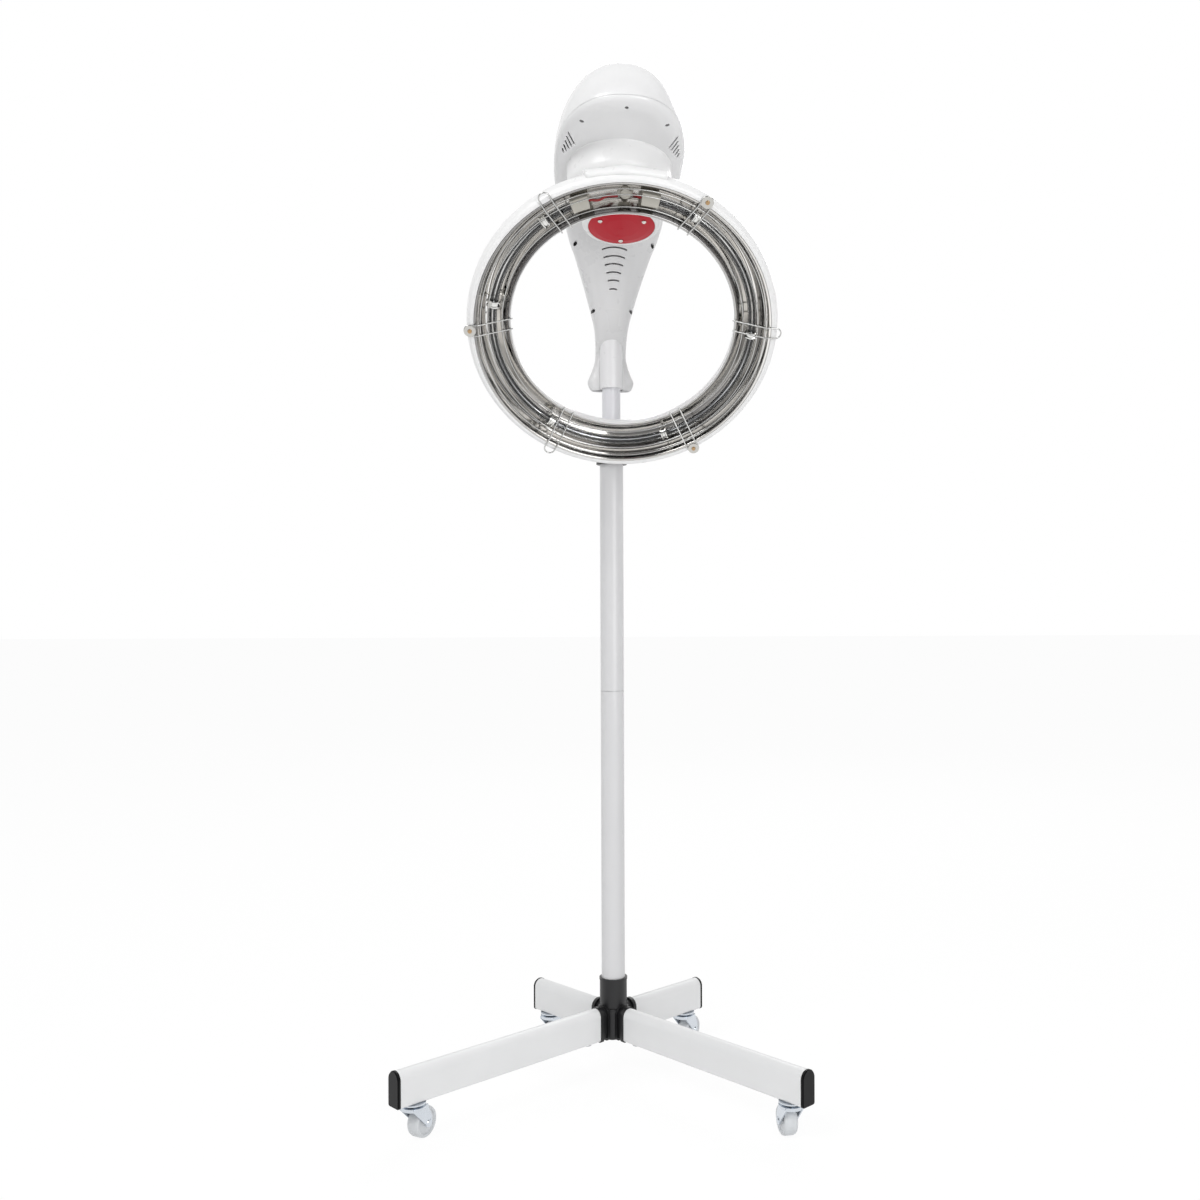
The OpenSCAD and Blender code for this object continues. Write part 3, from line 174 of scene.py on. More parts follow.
def shade(colour, by):
    """A colour made lighter or darker, as an RGBA value."""
    return tuple(min(1.0, max(0.0, c * by)) for c in colour[:3]) + (1.0,)


print("helpers: Value, Book")

# %% [markdown]
# Most of the finishes differ only in a few numbers: how large and how deep the grain is, and how much the
# tone and the gloss vary. One recipe takes those numbers.


# %% A moulded or painted finish
def skin(name, colour, rough=0.35, grain=0.0006, depth=0.00001, cloud=0.03, patch=0.05, metal=0.0,
         coat=0.0, vary=0.06, **more):
    """Grain and patches are in metres, cloud is a share of the tone, and vary is a span of roughness."""
    book = Book(name)
    tint = book.noise(patch, 3.0)
    fine = book.noise(grain, 2.0)
    book.set(Base_Color=book.blend(tint, shade(colour, 1.0 - cloud), shade(colour, 1.0 + cloud)),
             Roughness=rough - vary / 2 + vary * book.noise(patch * 0.4, 4.0), Metallic=metal,
             Coat_Weight=coat, **more)
    book.relief(fine, depth)
    return book.material


def brushed(name, colour, rough=0.3, along=(1.0, 1.0, 0.02), size=0.0006, depth=0.000012, vary=0.15,
            cloud=0.05):
    """Metal with streaks, drawn out where the scale along an axis is small."""
    book = Book(name)
    streak = book.noise(size, 2.0, 0.6, book.place(scale=along))
    tint = book.noise(0.03, 3.0)
    book.set(Base_Color=book.blend(tint, shade(colour, 1.0 - cloud), shade(colour, 1.0 + cloud)),
             Roughness=rough - vary / 2 + vary * streak, Metallic=1.0)
    book.relief(streak, depth)
    return book.material


def dress(material, *names):
    """Gives solids one finish."""
    for name in names:
        mesh = nodes[name].data
        if not mesh.materials:
            mesh.materials.append(material)
        for i in range(len(mesh.materials)):
            mesh.materials[i] = material


# %% Finishes
CORNERS = ("fl", "fr", "rl", "rr")
KEYS = ("power", "start", "up", "down", "mode")

white_shell = skin("white_shell", (0.84, 0.84, 0.845), rough=0.22, coat=0.25, cloud=0.01, depth=0.000004)
black = skin("black_plastic", (0.011, 0.011, 0.012), rough=0.4, depth=0.00002)
gloss_black = skin("gloss_black", (0.006, 0.006, 0.007), rough=0.35, depth=0.000004, Specular_IOR_Level=0.2)
leg_paint = skin("leg_paint", (0.83, 0.835, 0.84), rough=0.34, coat=0.1, depth=0.00001)
pole_paint = skin("pole_paint", (0.69, 0.69, 0.7), rough=0.3, coat=0.15, depth=0.000006)
mast_paint = skin("mast_paint", (0.7, 0.7, 0.73), rough=0.3, coat=0.15, depth=0.000006)
# The ring's white is a little lighter than the head's. The head's drum takes it too, as painted light: a
# lighter copy of the head's white that brightens the drum.
ring_white = skin("ring_white", (0.88, 0.88, 0.88), rough=0.28, coat=0.15, cloud=0.01, depth=0.000004)
# The neck's white is a darker copy of the head's white plastic: painted shade for the shadow that the head
# and ring throw on the neck.
shaded_neck_white = skin("shaded_neck_white", (0.7, 0.7, 0.705), rough=0.28, coat=0.15, cloud=0.01, depth=0.000004)
neck_white = skin("neck_white", (0.76, 0.76, 0.77), rough=0.28, coat=0.1, cloud=0.01, depth=0.000004)
steel = brushed("steel", (0.56, 0.57, 0.58))
clip_steel = brushed("clip_steel", (0.8, 0.8, 0.78), rough=0.12, vary=0.06)
zinc = brushed("zinc", (0.66, 0.7, 0.75), rough=0.25)
wire_metal = brushed("wire_metal", (0.6, 0.6, 0.59), rough=0.15, vary=0.05)
brass = brushed("brass", (0.75, 0.55, 0.28), rough=0.25)
dark_screw = brushed("dark_screw", (0.16, 0.16, 0.16), rough=0.35)
bright_screw = brushed("bright_screw", (0.75, 0.72, 0.68), rough=0.25)
lens_red = skin("lens_red", (0.52, 0.008, 0.022), rough=0.32, coat=0.05, cloud=0.04, Specular_IOR_Level=0.15)
ceramic = skin("ceramic", (0.5, 0.48, 0.43), rough=0.6, cloud=0.06, patch=0.01, depth=0.00002)
red_sleeve = skin("red_sleeve", (0.3, 0.012, 0.014), rough=0.45)
wheel_nylon = skin("wheel_nylon", (0.69, 0.71, 0.73), rough=0.35, depth=0.00001)
key_grey = skin("key_grey", (0.3, 0.3, 0.33), rough=0.4)
board_green = skin("board_green", (0.02, 0.12, 0.05), rough=0.5)
gear_nylon = skin("gear_nylon", (0.8, 0.78, 0.7), rough=0.45)
motor_grey = skin("motor_grey", (0.2, 0.2, 0.21), rough=0.4, metal=0.3)
display = skin("display_smoke", (0.1, 0.02, 0.02), rough=0.12, coat=0.6)
coil_metal = skin("coil_metal", (0.02, 0.018, 0.017), rough=0.5)
quartz_book = Book("quartz")
quartz_book.set(Base_Color=(0.96, 0.97, 0.98, 1.0), Transmission_Weight=1.0, IOR=1.35,
                Roughness=0.02 + 0.03 * quartz_book.noise(0.02))
quartz = quartz_book.material

dress(black, "base_hub", "height_collar", "collar_bush", "mast_stop", "brush_block", "power_inlet")
dress(gloss_black, "leg_end_caps", "clamp_knob", "control_panel")
dress(leg_paint, "front_legs", "rear_legs")
dress(pole_paint, "lower_tube", "upper_tube")
dress(mast_paint, "inner_tube")
dress(neck_white, "neck_socket")
dress(white_shell, "head_top_cover", "head_lower_shell")
dress(shaded_neck_white, "neck_front_shell", "neck_rear_shell")
dress(ring_white, "hub_shell", "ring_arm", "ring_shell")
dress(steel, "leg_bolts", "tube_joiner", "drive_plate", "orbit_shaft", "orbit_bearing")
dress(zinc, "caster_stems", *["caster_fork_" + c for c in CORNERS])
dress(wheel_nylon, *["caster_wheel_" + c for c in CORNERS])
dress(wire_metal, "guard_wires")
dress(brass, "motor_pinion", "slip_ring")
dress(dark_screw, "neck_screws", "head_screws")
dress(bright_screw, "lens_screws")
dress(lens_red, "hub_lens")
dress(ceramic, "heater_end_blocks", "thermostat")
dress(red_sleeve, "heater_leads")
dress(key_grey, *["button_" + k for k in KEYS])
dress(board_green, "control_board")
dress(gear_nylon, "orbit_gear")
dress(motor_grey, "orbit_motor")
dress(display, "display_window")
dress(coil_metal, "heater_filaments")
dress(quartz, "heater_tube")
print("materials:", len(bpy.data.materials))

# %% [markdown]
# The shells are modelled in millimetres in frames of their own, as they would be in a drawing: the head's
# frame is turned on the pole, the orbit axis leans inside it, and the ring's plane leans further. Each
# finished mesh is carried into the room by the frame's matrix, so its object stays at the origin.

# %% Frames and piece making
METRE = Matrix.Scale(0.001, 4)
HEAD_TURN, AXIS_TILT, RING_TURN, RING_TILT = 7.4, 13.0, -2.0, 36.6  # degrees
RING_REACH, RING_Z = 225.0, 966.6  # from the pole's axis to the ring's middle, and that middle's height
head_frame = Matrix.Rotation(radians(HEAD_TURN), 4, "Z")
axis_frame = (head_frame @ Matrix.Translation((0.0, -RING_REACH, RING_Z))
              @ Matrix.Rotation(radians(-AXIS_TILT), 4, "X"))
orbit_frame = axis_frame @ Matrix.Rotation(radians(RING_TURN), 4, "Z")
ring_frame = orbit_frame @ Matrix.Rotation(radians(90.0 + RING_TILT + AXIS_TILT), 4, "X")


def piece(bm, name, where, material, body, stands_for=(), sharp=35.0, merge=0.01):
    """Turns a bmesh in millimetres into a finished object that rides on a body."""
    bmesh.ops.remove_doubles(bm, verts=bm.verts, dist=merge)
    bmesh.ops.recalc_face_normals(bm, faces=bm.faces)
    bm.transform(METRE @ where)
    mesh = bpy.data.meshes.new(name)
    bm.to_mesh(mesh)
    bm.free()
    mesh.shade_smooth()
    mesh.set_sharp_from_angle(angle=radians(sharp))
    mesh.materials.append(material)
    made = bpy.data.objects.new(name, mesh)
    bpy.context.scene.collection.objects.link(made)
    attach(made, body)
    if stands_for:
        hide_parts(*stands_for)
    print(name, len(mesh.polygons), "faces")
    return made


def cut(target, cutters):
    """Takes the cutters' volumes out of a piece, and throws the cutters away."""
    for cutter in cutters:
        step = target.modifiers.new("cut", "BOOLEAN")
        step.operation = "DIFFERENCE"
        step.solver = "EXACT"
        step.object = cutter
        with bpy.context.temp_override(object=target, active_object=target):
            bpy.ops.object.modifier_apply(modifier=step.name)
        bpy.data.objects.remove(cutter)


def loose(bm, name, where):
    """A cutter: a closed mesh that is never shown."""
    bmesh.ops.recalc_face_normals(bm, faces=bm.faces)
    bm.transform(METRE @ where)
    mesh = bpy.data.meshes.new(name)
    bm.to_mesh(mesh)
    bm.free()
    made = bpy.data.objects.new(name, mesh)
    bpy.context.scene.collection.objects.link(made)
    return made


def lathe(profile, steps):
    """Spins a closed profile of (radius, height) about Z."""
    bm = bmesh.new()
    line = [bm.verts.new((r, 0.0, z)) for r, z in profile]
    edges = [bm.edges.new(pair) for pair in zip(line, line[1:] + line[:1])]
    bmesh.ops.spin(bm, geom=line + edges, cent=(0, 0, 0), axis=(0, 0, 1), angle=2 * pi, steps=steps,
                   use_merge=True)
    return bm


def lift(bm, by):
    """Extrudes all faces of a flat sheet by a vector, and keeps the sheet as the other end."""
    raised = bmesh.ops.extrude_face_region(bm, geom=bm.faces[:], use_keep_orig=True)["geom"]
    bmesh.ops.translate(bm, verts=[v for v in raised if isinstance(v, bmesh.types.BMVert)], vec=by)


def stack(count, rows, place, close_ends=False):
    """Extrudes a loop of count points through rows; place(station, row) puts each point."""
    bm = bmesh.new()
    station = bm.verts.layers.int.new("station")
    bmesh.ops.create_circle(bm, cap_ends=False, radius=1.0, segments=count)
    bm.verts.ensure_lookup_table()
    for i, vert in enumerate(bm.verts):
        vert[station] = i
        vert.co = place(i, rows[0])
    loop = list(bm.edges)
    if close_ends:
        bmesh.ops.contextual_create(bm, geom=loop)
    for row in rows[1:]:
        made = bmesh.ops.extrude_edge_only(bm, edges=loop)["geom"]
        fresh = {v for v in made if isinstance(v, bmesh.types.BMVert)}
        loop = [e for e in made
                if isinstance(e, bmesh.types.BMEdge) and e.verts[0] in fresh and e.verts[1] in fresh]
        for vert in fresh:
            vert.co = place(vert[station], row)
    if close_ends:
        bmesh.ops.contextual_create(bm, geom=loop)
    return bm


def smooth_through(table, t):
    """A smooth curve through a table of rows: t counts rows."""
    i = min(int(t), len(table) - 2)
    f = t - i
    a, b, c, d = (table[min(max(k, 0), len(table) - 1)] for k in (i - 1, i, i + 1, i + 2))
    return [0.5 * (2 * q + (r - p) * f + (2 * p - 5 * q + 4 * r - s) * f * f
                   + (3 * q - p - 3 * r + s) * f ** 3)
            for p, q, r, s in zip(a, b, c, d)]


def power(v, exponent):
    """A power that keeps the sign, for a superellipse."""
    return copysign(abs(v) ** exponent, v)


print("frames and helpers ready")

# %% [markdown]
# Two finishes need the ring's frame, so they are made here. The reflector is pressed from bright sheet.
# Its base colour carries fine streaks along its circle, partly wiping streaks and partly painted
# reflection stripes from dark to bright, and bands across its width that are painted reflections of the
# room, dark and bright. Each guard screw is a grey washer with a brass head, told apart by their height over
# the ring.

# %% Reflector and screw finishes
STREAKS_PER_METRE = 150.0
# The second number spreads the painted reflection bands over the reflector's width.
INNER_EDGE, PAINTED_BANDS_SCALE = 0.134, 23.0  # the reflector's inner edge and one over its width
HEAD_OVER_RING = 0.01115                   # above this height a guard screw's brass head starts

bright_book = Book("reflector_metal")
ring_r, ring_h = bright_book.polar(ring_frame)
lap = bright_book.node("ShaderNodeCombineXYZ", None,
                       {0: ring_r * STREAKS_PER_METRE, 1: ring_h * STREAKS_PER_METRE, 2: 0.0})
along = bright_book.place(scale=(2.0, 2.0, 2.0))
streaks = bright_book.node("ShaderNodeTexNoise", None,
                           {"Vector": bright_book.vector("ADD", lap, along), "Scale": 1.0, "Detail": 1.0,
                            "Roughness": 0.4})
bloom = bright_book.noise(0.08, 2.0)
# Streaks in the base colour: partly wiping streaks, partly painted reflection stripes from dark to bright.
tone = bright_book.node("ShaderNodeValToRGB", {"stops": [
    (0.34, (0.17, 0.17, 0.175, 1.0)), (0.41, (0.5, 0.495, 0.485, 1.0)), (0.54, (0.68, 0.665, 0.64, 1.0)),
    (0.6, (0.93, 0.92, 0.9, 1.0))]}, {0: streaks})
# Painted reflection bands from the inner edge to the rim: dark and bright lines of reflected room, and stops
# above 1 are painted highlights
painted_reflection_bands = bright_book.node("ShaderNodeValToRGB", {"stops": [
    (0.03, (0.95, 0.95, 0.95, 1.0)), (0.07, (0.4, 0.4, 0.42, 1.0)), (0.13, (0.3, 0.3, 0.32, 1.0)),
    (0.18, (1.2, 1.2, 1.2, 1.0)), (0.62, (1.15, 1.15, 1.15, 1.0)), (0.68, (1.4, 1.4, 1.4, 1.0)),
    (0.75, (0.55, 0.55, 0.55, 1.0)), (0.84, (1.05, 1.05, 1.05, 1.0))]},
    {0: (ring_r - INNER_EDGE) * PAINTED_BANDS_SCALE})
sheet_and_reflection_tone = bright_book.blend(bloom * 0.5, tone, (0.66, 0.635, 0.6, 1.0))
bright_book.set(Base_Color=bright_book.vector("MULTIPLY", sheet_and_reflection_tone, painted_reflection_bands),
                Roughness=0.05 + 0.08 * streaks, Metallic=1.0)
bright_book.relief(streaks, 0.000005)
reflector_metal = bright_book.material

screw_book = Book("guard_screw")
screw_height = screw_book.polar(ring_frame)[1]
screw_grain = screw_book.noise(0.0008, 2.0)
screw_book.set(Base_Color=screw_book.blend(screw_height.over(HEAD_OVER_RING), (0.62, 0.61, 0.58, 1.0),
                                           (0.5, 0.33, 0.18, 1.0)),
               Roughness=0.22 + 0.15 * screw_grain, Metallic=1.0)
screw_book.relief(screw_grain, 0.00001)
dress(reflector_metal, "ring_reflector")
dress(screw_book.material, "guard_screws")
print("ring finishes:", reflector_metal.name, screw_book.material.name)

# %% [markdown]
# The neck is a moulding in two halves that swells from a slim waist into wings at its foot and a broad
# shoulder at its top. A loop of points is extruded up through a table of sections, and a smooth curve
# through the table keeps the highlights unbroken. The front and back halves part along the widest line.

# %% Neck shells
# Height, half width, front and back of each section
NECK = [
    (931.5, 26.0, 1.5, 20.0), (934.0, 28.6, 0.5, 22.5), (939.0, 30.8, 0.0, 24.5), (945.0, 31.4, 0.0, 25.0),
    (957.0, 26.5, 0.0, 24.0), (971.0, 22.0, 0.0, 22.5), (982.0, 21.0, 0.0, 21.5), (998.0, 21.4, -15.7, 20.5),
    (1017.0, 23.7, -29.0, 19.5), (1037.0, 29.0, -38.0, 17.5), (1063.0, 36.8, -49.0, 10.0),
    (1086.0, 44.5, -62.0, 2.0), (1106.0, 51.8, -77.0, -5.0), (1120.0, 58.0, -90.0, -10.0),
    (1140.0, 64.0, -114.0, -16.0), (1160.0, 65.5, -134.0, -20.0), (1192.0, 66.0, -150.0, -24.0),
]
NECK_STATIONS, NECK_STEPS = 96, 5
NECK_ROUND = 2.0 / 2.6
NECK_WALL = 2.6
PARTING = 0.25              # how far each half stays back from the line between them
DRUM_Y = 19.0               # the drum's axis lies behind the orbit axis
LIP_Z, FLOOR_Z = 233.3, 224.0


def neck_point(i, row):
    z, half, front, back = row
    turn = 2 * pi * i / NECK_STATIONS
    middle, depth = (front + back) / 2, (back - front) / 2
    return Vector((half * power(cos(turn), NECK_ROUND), middle + depth * power(sin(turn), NECK_ROUND), z))


def neck_half(front):
    """The front or back half of the neck, as a wall with its outer face on the sections."""
    rows = [smooth_through(NECK, k / NECK_STEPS) for k in range(NECK_STEPS * (len(NECK) - 1) + 1)]
    bm = stack(NECK_STATIONS, rows, neck_point)
    station = bm.verts.layers.int["station"]
    half = NECK_STATIONS // 2
    keep = range(half, NECK_STATIONS + 1) if front else range(0, half + 1)
    gone = [f for f in bm.faces
            if not all((v[station] in keep) or (front and v[station] == 0) for v in f.verts)]
    bmesh.ops.delete(bm, geom=gone, context="FACES")
    for vert in bm.verts:
        if vert[station] in (0, half):
            vert.co.y += -PARTING if front else PARTING
    bmesh.ops.recalc_face_normals(bm, faces=bm.faces)
    if sum(f.normal.y * f.calc_area() for f in bm.faces) * (1 if front else -1) > 0:
        bmesh.ops.reverse_faces(bm, faces=bm.faces)
    bmesh.ops.solidify(bm, geom=bm.faces[:], thickness=NECK_WALL)
    return bm


def drum_of(r, low, high, count=64):
    """A closed cylinder on Z between two heights."""
    bm = bmesh.new()
    bmesh.ops.create_cone(bm, cap_ends=True, segments=count, radius1=r, radius2=r, depth=high - low)
    bmesh.ops.translate(bm, verts=bm.verts, vec=(0, 0, (high + low) / 2))
    return bm


def neck_cutters():
    """The room that the mast's socket, the drum and the head take up."""
    block = 400.0
    head_room = bmesh.new()
    bmesh.ops.create_cube(head_room, size=block)
    return [loose(drum_of(15.75, 900.0, 1024.4), "socket_room", head_frame),
            loose(drum_of(65.4, 186.6, 300.0, 96), "drum_room",
                  axis_frame @ Matrix.Translation((0, DRUM_Y, 0))),
            loose(head_room, "head_room", axis_frame @ Matrix.Translation((0, 0, FLOOR_Z + block / 2)))]


neck_front = piece(neck_half(True), "neck_front", head_frame, shaded_neck_white, "head",
                   ["neck_front_shell"])
cut(neck_front, neck_cutters())
neck_back = piece(neck_half(False), "neck_back", head_frame, shaded_neck_white, "head",
                  ["neck_rear_shell"])
cut(neck_back, neck_cutters())

# %% [markdown]
# The vents are short arcs cut through the front. Each cutter is a slice of a tube, so its ends are
# square like a real slot's, and they grow wider towards the top.

# %% Neck vents and screw holes
# Half width and height of each slot
VENTS = [(5.0, 1058.9), (7.4, 1069.3), (9.7, 1078.7), (12.0, 1088.1), (14.2, 1096.9), (16.4, 1106.1)]
SLOT_HALF = 0.9
NECK_HOLES = [(25.5, 1034.0), (50.9, 1113.0)]
NECK_HOLE_R = 2.5
FAR_FRONT, VENT_DEPTH = -180.0, 150.0  # the cutters start before the neck and go through its front wall


def vent_cutter(half, z):
    """A slot that follows a flat arc, whose radius is three times its half width."""
    r = 3.0 * half
    start = acos(1 / 3)
    bm = bmesh.new()
    ends = [bm.verts.new((k * cos(start), FAR_FRONT, k * sin(start))) for k in (r - SLOT_HALF, r + SLOT_HALF)]
    edge = bm.edges.new(ends)
    bmesh.ops.spin(bm, geom=ends + [edge], cent=(0, FAR_FRONT, 0), axis=(0, -1, 0), angle=pi - 2 * start,
                   steps=14)
    lift(bm, (0, VENT_DEPTH, 0))
    bmesh.ops.translate(bm, verts=bm.verts, vec=(0, 0, z - r))
    return bm


def rod(r, start, end, count=32):
    """A plain closed rod between two points."""
    bm = bmesh.new()
    way = Vector(end) - Vector(start)
    bmesh.ops.create_cone(bm, cap_ends=True, segments=count, radius1=r, radius2=r, depth=way.length)
    bmesh.ops.transform(bm, verts=bm.verts, matrix=Matrix.Translation((Vector(start) + Vector(end)) / 2)
                        @ way.to_track_quat("Z", "Y").to_matrix().to_4x4())
    return bm


vents = [loose(vent_cutter(half, z), "vent", head_frame) for half, z in VENTS]
for x, z in NECK_HOLES:
    for side in (-1, 1):
        vents.append(loose(rod(NECK_HOLE_R, (side * x, FAR_FRONT, z), (side * x, -10, z)), "screw_hole",
                           head_frame))
cut(neck_front, vents)
print("vents and screw holes cut")

# %% [markdown]
# The cover over the head is a smooth dome on a soft-cornered oval. Both the plan and the side follow a
# superellipse, the curve between an ellipse and a rounded box that product designers use for such forms.

# %% Head cover
HEAD_STATIONS = 128
HEAD_WALL = 3.0
DOME_H = 94.85
HEAD_ROUND, DOME_ROUND = 2.36, 1.85
HEAD_HALF, HEAD_FRONT, HEAD_BACK = 80.4, 139.0, 162.0
TOP_Y, LIP_SHIFT = -12.0, 32.0  # the plan's middle moves back from the dome's top down to its lip


def head_point(i, row):
    inset, size, z = row
    turn = 2 * pi * i / HEAD_STATIONS
    reach = (HEAD_FRONT if sin(turn) < 0 else HEAD_BACK) - inset
    middle = TOP_Y + LIP_SHIFT * size
    return Vector(((HEAD_HALF - inset) * size * power(cos(turn), 2 / HEAD_ROUND),
                   middle + reach * size * power(sin(turn), 2 / HEAD_ROUND), z))


def dome_rows(count=30):
    """The lip's rows, then rows at even angles up the dome, short of its top."""
    lip = [(0.4, 1.0, LIP_Z), (0.1, 1.0, LIP_Z + 0.2), (0.0, 1.0, LIP_Z + 0.7)]
    rise = [(0.0, cos(radians(a)) ** (2 / DOME_ROUND), LIP_Z + DOME_H * sin(radians(a)) ** (2 / DOME_ROUND))
            for a in [3 + 86.2 * (k / count) for k in range(count + 1)]]
    return lip + rise


cover_mesh = stack(HEAD_STATIONS, dome_rows(), head_point)
top = [e for e in cover_mesh.edges if e.is_boundary and e.verts[0].co.z > LIP_Z + 60]
bmesh.ops.contextual_create(cover_mesh, geom=top)
bmesh.ops.recalc_face_normals(cover_mesh, faces=cover_mesh.faces)
bmesh.ops.solidify(cover_mesh, geom=cover_mesh.faces[:], thickness=HEAD_WALL)
head_cover = piece(cover_mesh, "head_cover", axis_frame, white_shell, "head",
                   ["head_top_cover"])

# %% [markdown]
# The control panel sits in a raised surround at the back of the dome. A rounded plate is a flat square
# with its corners bevelled, then extruded. The dome is opened behind it, so that nothing shows through.

# %% Panel surround
panel_frame = axis_frame @ Matrix.Translation((0.0, 157.6, 275.2)) @ Matrix.Rotation(radians(-40.9), 4, "X")


def plate(w, h, r, low, high, steps=8):
    """A rounded rectangular block between two heights."""
    bm = bmesh.new()
    bmesh.ops.create_grid(bm, x_segments=1, y_segments=1, size=0.5)
    bmesh.ops.scale(bm, vec=(w, h, 1), verts=bm.verts)
    bmesh.ops.bevel(bm, geom=bm.verts[:], offset=r, offset_type="OFFSET", segments=steps, profile=0.5,
                    affect="VERTICES", material=-1)
    bmesh.ops.translate(bm, verts=bm.verts, vec=(0, 0, low))
    lift(bm, (0, 0, high - low))
    bmesh.ops.recalc_face_normals(bm, faces=bm.faces)
    return bm


cut(head_cover, [loose(plate(70.0, 56.0, 6.0, -34.0, 30.0), "panel_room", panel_frame)])
PROUD = 1.5
surround = plate(74.0, 60.0, 8.0, -19.0, PROUD)
rim = [e for e in surround.edges if all(v.co.z > PROUD - 0.1 for v in e.verts)]
bmesh.ops.bevel(surround, geom=rim, offset=1.2, offset_type="OFFSET", segments=4, profile=0.5, affect="EDGES",
                material=-1)
panel_surround = piece(surround, "panel_surround", panel_frame, white_shell, "head")
cut(panel_surround, [loose(plate(64.6, 50.6, 5.0, -1.6, 5.0), "panel_seat", panel_frame),
                     loose(plate(58.0, 44.0, 3.0, -30.0, 5.0), "panel_hollow", panel_frame)])

# %% [markdown]
# Below the cover, the underside folds in over a shallow brim to a flat face, and a round drum drops from
# it. The brim is one extruded skin, the drum is a spun profile, and both are one moulding.

# %% Head underside
BRIM_IN, BRIM_DROP = 19.0, 8.6
BRIM = ([(BRIM_IN * (1 - cos(radians(a))), LIP_Z - 0.7 - BRIM_DROP * sin(radians(a)))
         for a in range(0, 91, 6)] + [(21.5, FLOOR_Z)])
skin_rows = [(0.4, 1.0, 233.1)] + [(inset, 1.0, z) for inset, z in BRIM]
brim_mesh = stack(HEAD_STATIONS, skin_rows, head_point)
flat = [e for e in brim_mesh.edges if e.is_boundary and all(v.co.z < FLOOR_Z + 0.5 for v in e.verts)]
bmesh.ops.contextual_create(brim_mesh, geom=flat)
bmesh.ops.recalc_face_normals(brim_mesh, faces=brim_mesh.faces)
if sum(f.normal.z * f.calc_area() for f in brim_mesh.faces) > 0:
    bmesh.ops.reverse_faces(brim_mesh, faces=brim_mesh.faces)
bmesh.ops.solidify(brim_mesh, geom=brim_mesh.faces[:], thickness=HEAD_WALL)


def fillet(centre, r, start, end, count):
    """Points on an arc between two angles, in degrees."""
    return [(centre[0] + r * cos(radians(start + (end - start) * k / count)),
             centre[1] + r * sin(radians(start + (end - start) * k / count))) for k in range(count + 1)]


drum_line = ([(10.0, 187.0)] + fillet((53.0, 199.0), 12.0, 270, 360, 10)
             + fillet((69.0, 221.5), 4.0, 180, 90, 6) + [(69.0, 226.5), (62.0, 226.5)]
             + fillet((53.0, 199.0), 9.0, 0, -90, 8) + [(10.0, 190.0)])
drum_mesh = lathe(drum_line, HEAD_STATIONS)
bmesh.ops.translate(drum_mesh, verts=drum_mesh.verts, vec=(0, DRUM_Y, 0))
under = piece(brim_mesh, "head_under", axis_frame, white_shell, "head", ["head_lower_shell"])
# The drum takes the ring's lighter white, not the underside's: painted light on one moulding.
piece(drum_mesh, "head_drum", axis_frame, ring_white, "head")
cut(under, [loose(drum_of(60.0, 200.0, 250.0, 96), "hollow",
                  axis_frame @ Matrix.Translation((0, DRUM_Y, 0)))])


def slot(a, b, w, low, high):
    """A slot cutter with round ends between two points of a plane."""
    a, b = Vector(a), Vector(b)
    bm = plate((b - a).length + w, w, w / 2 - 0.01, low, high, steps=6)
    middle = (a + b) / 2
    turn = atan2(b.y - a.y, b.x - a.x)
    bmesh.ops.transform(bm, verts=bm.verts,
                        matrix=Matrix.Translation((middle.x, middle.y, 0)) @ Matrix.Rotation(turn, 4, "Z"))
    return bm


SLOTS = 5
SCREWS = [(0.0, -106.0), (50.0, -76.0), (-50.0, -76.0), (47.0, 126.0), (-47.0, 126.0)]
SCREW_HOLE_R = 2.3

openings = []
for k in range(SLOTS):
    share = k / (SLOTS - 1)
    for side in (-1, 1):
        a = (side * (65.2 + 6.0 * share), -51.5 + 33.7 * share)
        b = (side * (57.4 + 12.2 * share), -31.6 + 20.9 * share)
        openings.append(loose(slot(a, b, 2.0, 220.0, 233.5), "slot", axis_frame))
for x, y in SCREWS:
    openings.append(loose(rod(SCREW_HOLE_R, (x, y, 215), (x, y, 227.0)), "screw_hole", axis_frame))
cut(under, openings)

# %% [markdown]
# The ring is one long trough bent into a circle, so every part of it is a profile spun about the ring's
# axis. The white back is a smooth curve, while the reflector is pressed in crisp steps, so its corners
# get small arcs instead.

# %% Ring shell
SHELL_LINE = [(176.6, 7.8), (181.0, 7.0), (184.2, 2.0), (185.0, -7.0), (180.6, -20.0), (171.0, -31.0),
              (161.0, -38.0), (154.4, -41.0), (145.8, -38.5), (138.3, -31.0), (134.5, -21.0), (133.8, -13.0)]
RING_STEPS = 240
RING_WALL, SHEET = 2.3, 0.8


def curve_through(line, steps):
    """A smooth curve through a line's points."""
    return [tuple(smooth_through(line, k / steps)) for k in range(steps * (len(line) - 1) + 1)]


def offset_line(line, gap):
    """A copy of a line, moved to its left by gap."""
    made = []
    for i, (x, y) in enumerate(line):
        ax, ay = line[max(i - 1, 0)]
        bx, by = line[min(i + 1, len(line) - 1)]
        run = hypot(bx - ax, by - ay)
        made.append((x - gap * (by - ay) / run, y + gap * (bx - ax) / run))
    return made


outer = curve_through(SHELL_LINE, 5)
inner = offset_line(outer, -RING_WALL)
piece(lathe(outer + inner[::-1], RING_STEPS), "ring_back", ring_frame, ring_white, "orbiter",
      ["ring_shell"], sharp=50)

# %% Reflector
REFLECTOR_LINE = [(176.0, 8.0), (173.5, 7.0), (172.6, -1.0), (171.0, -2.0), (170.0, -12.0), (168.0, -13.5),
                  (165.0, -25.0), (162.0, -26.5), (155.5, -32.0), (146.5, -29.0), (144.5, -26.0),
                  (140.0, -20.0), (138.6, -17.0), (137.4, -12.0), (135.0, -11.7)]


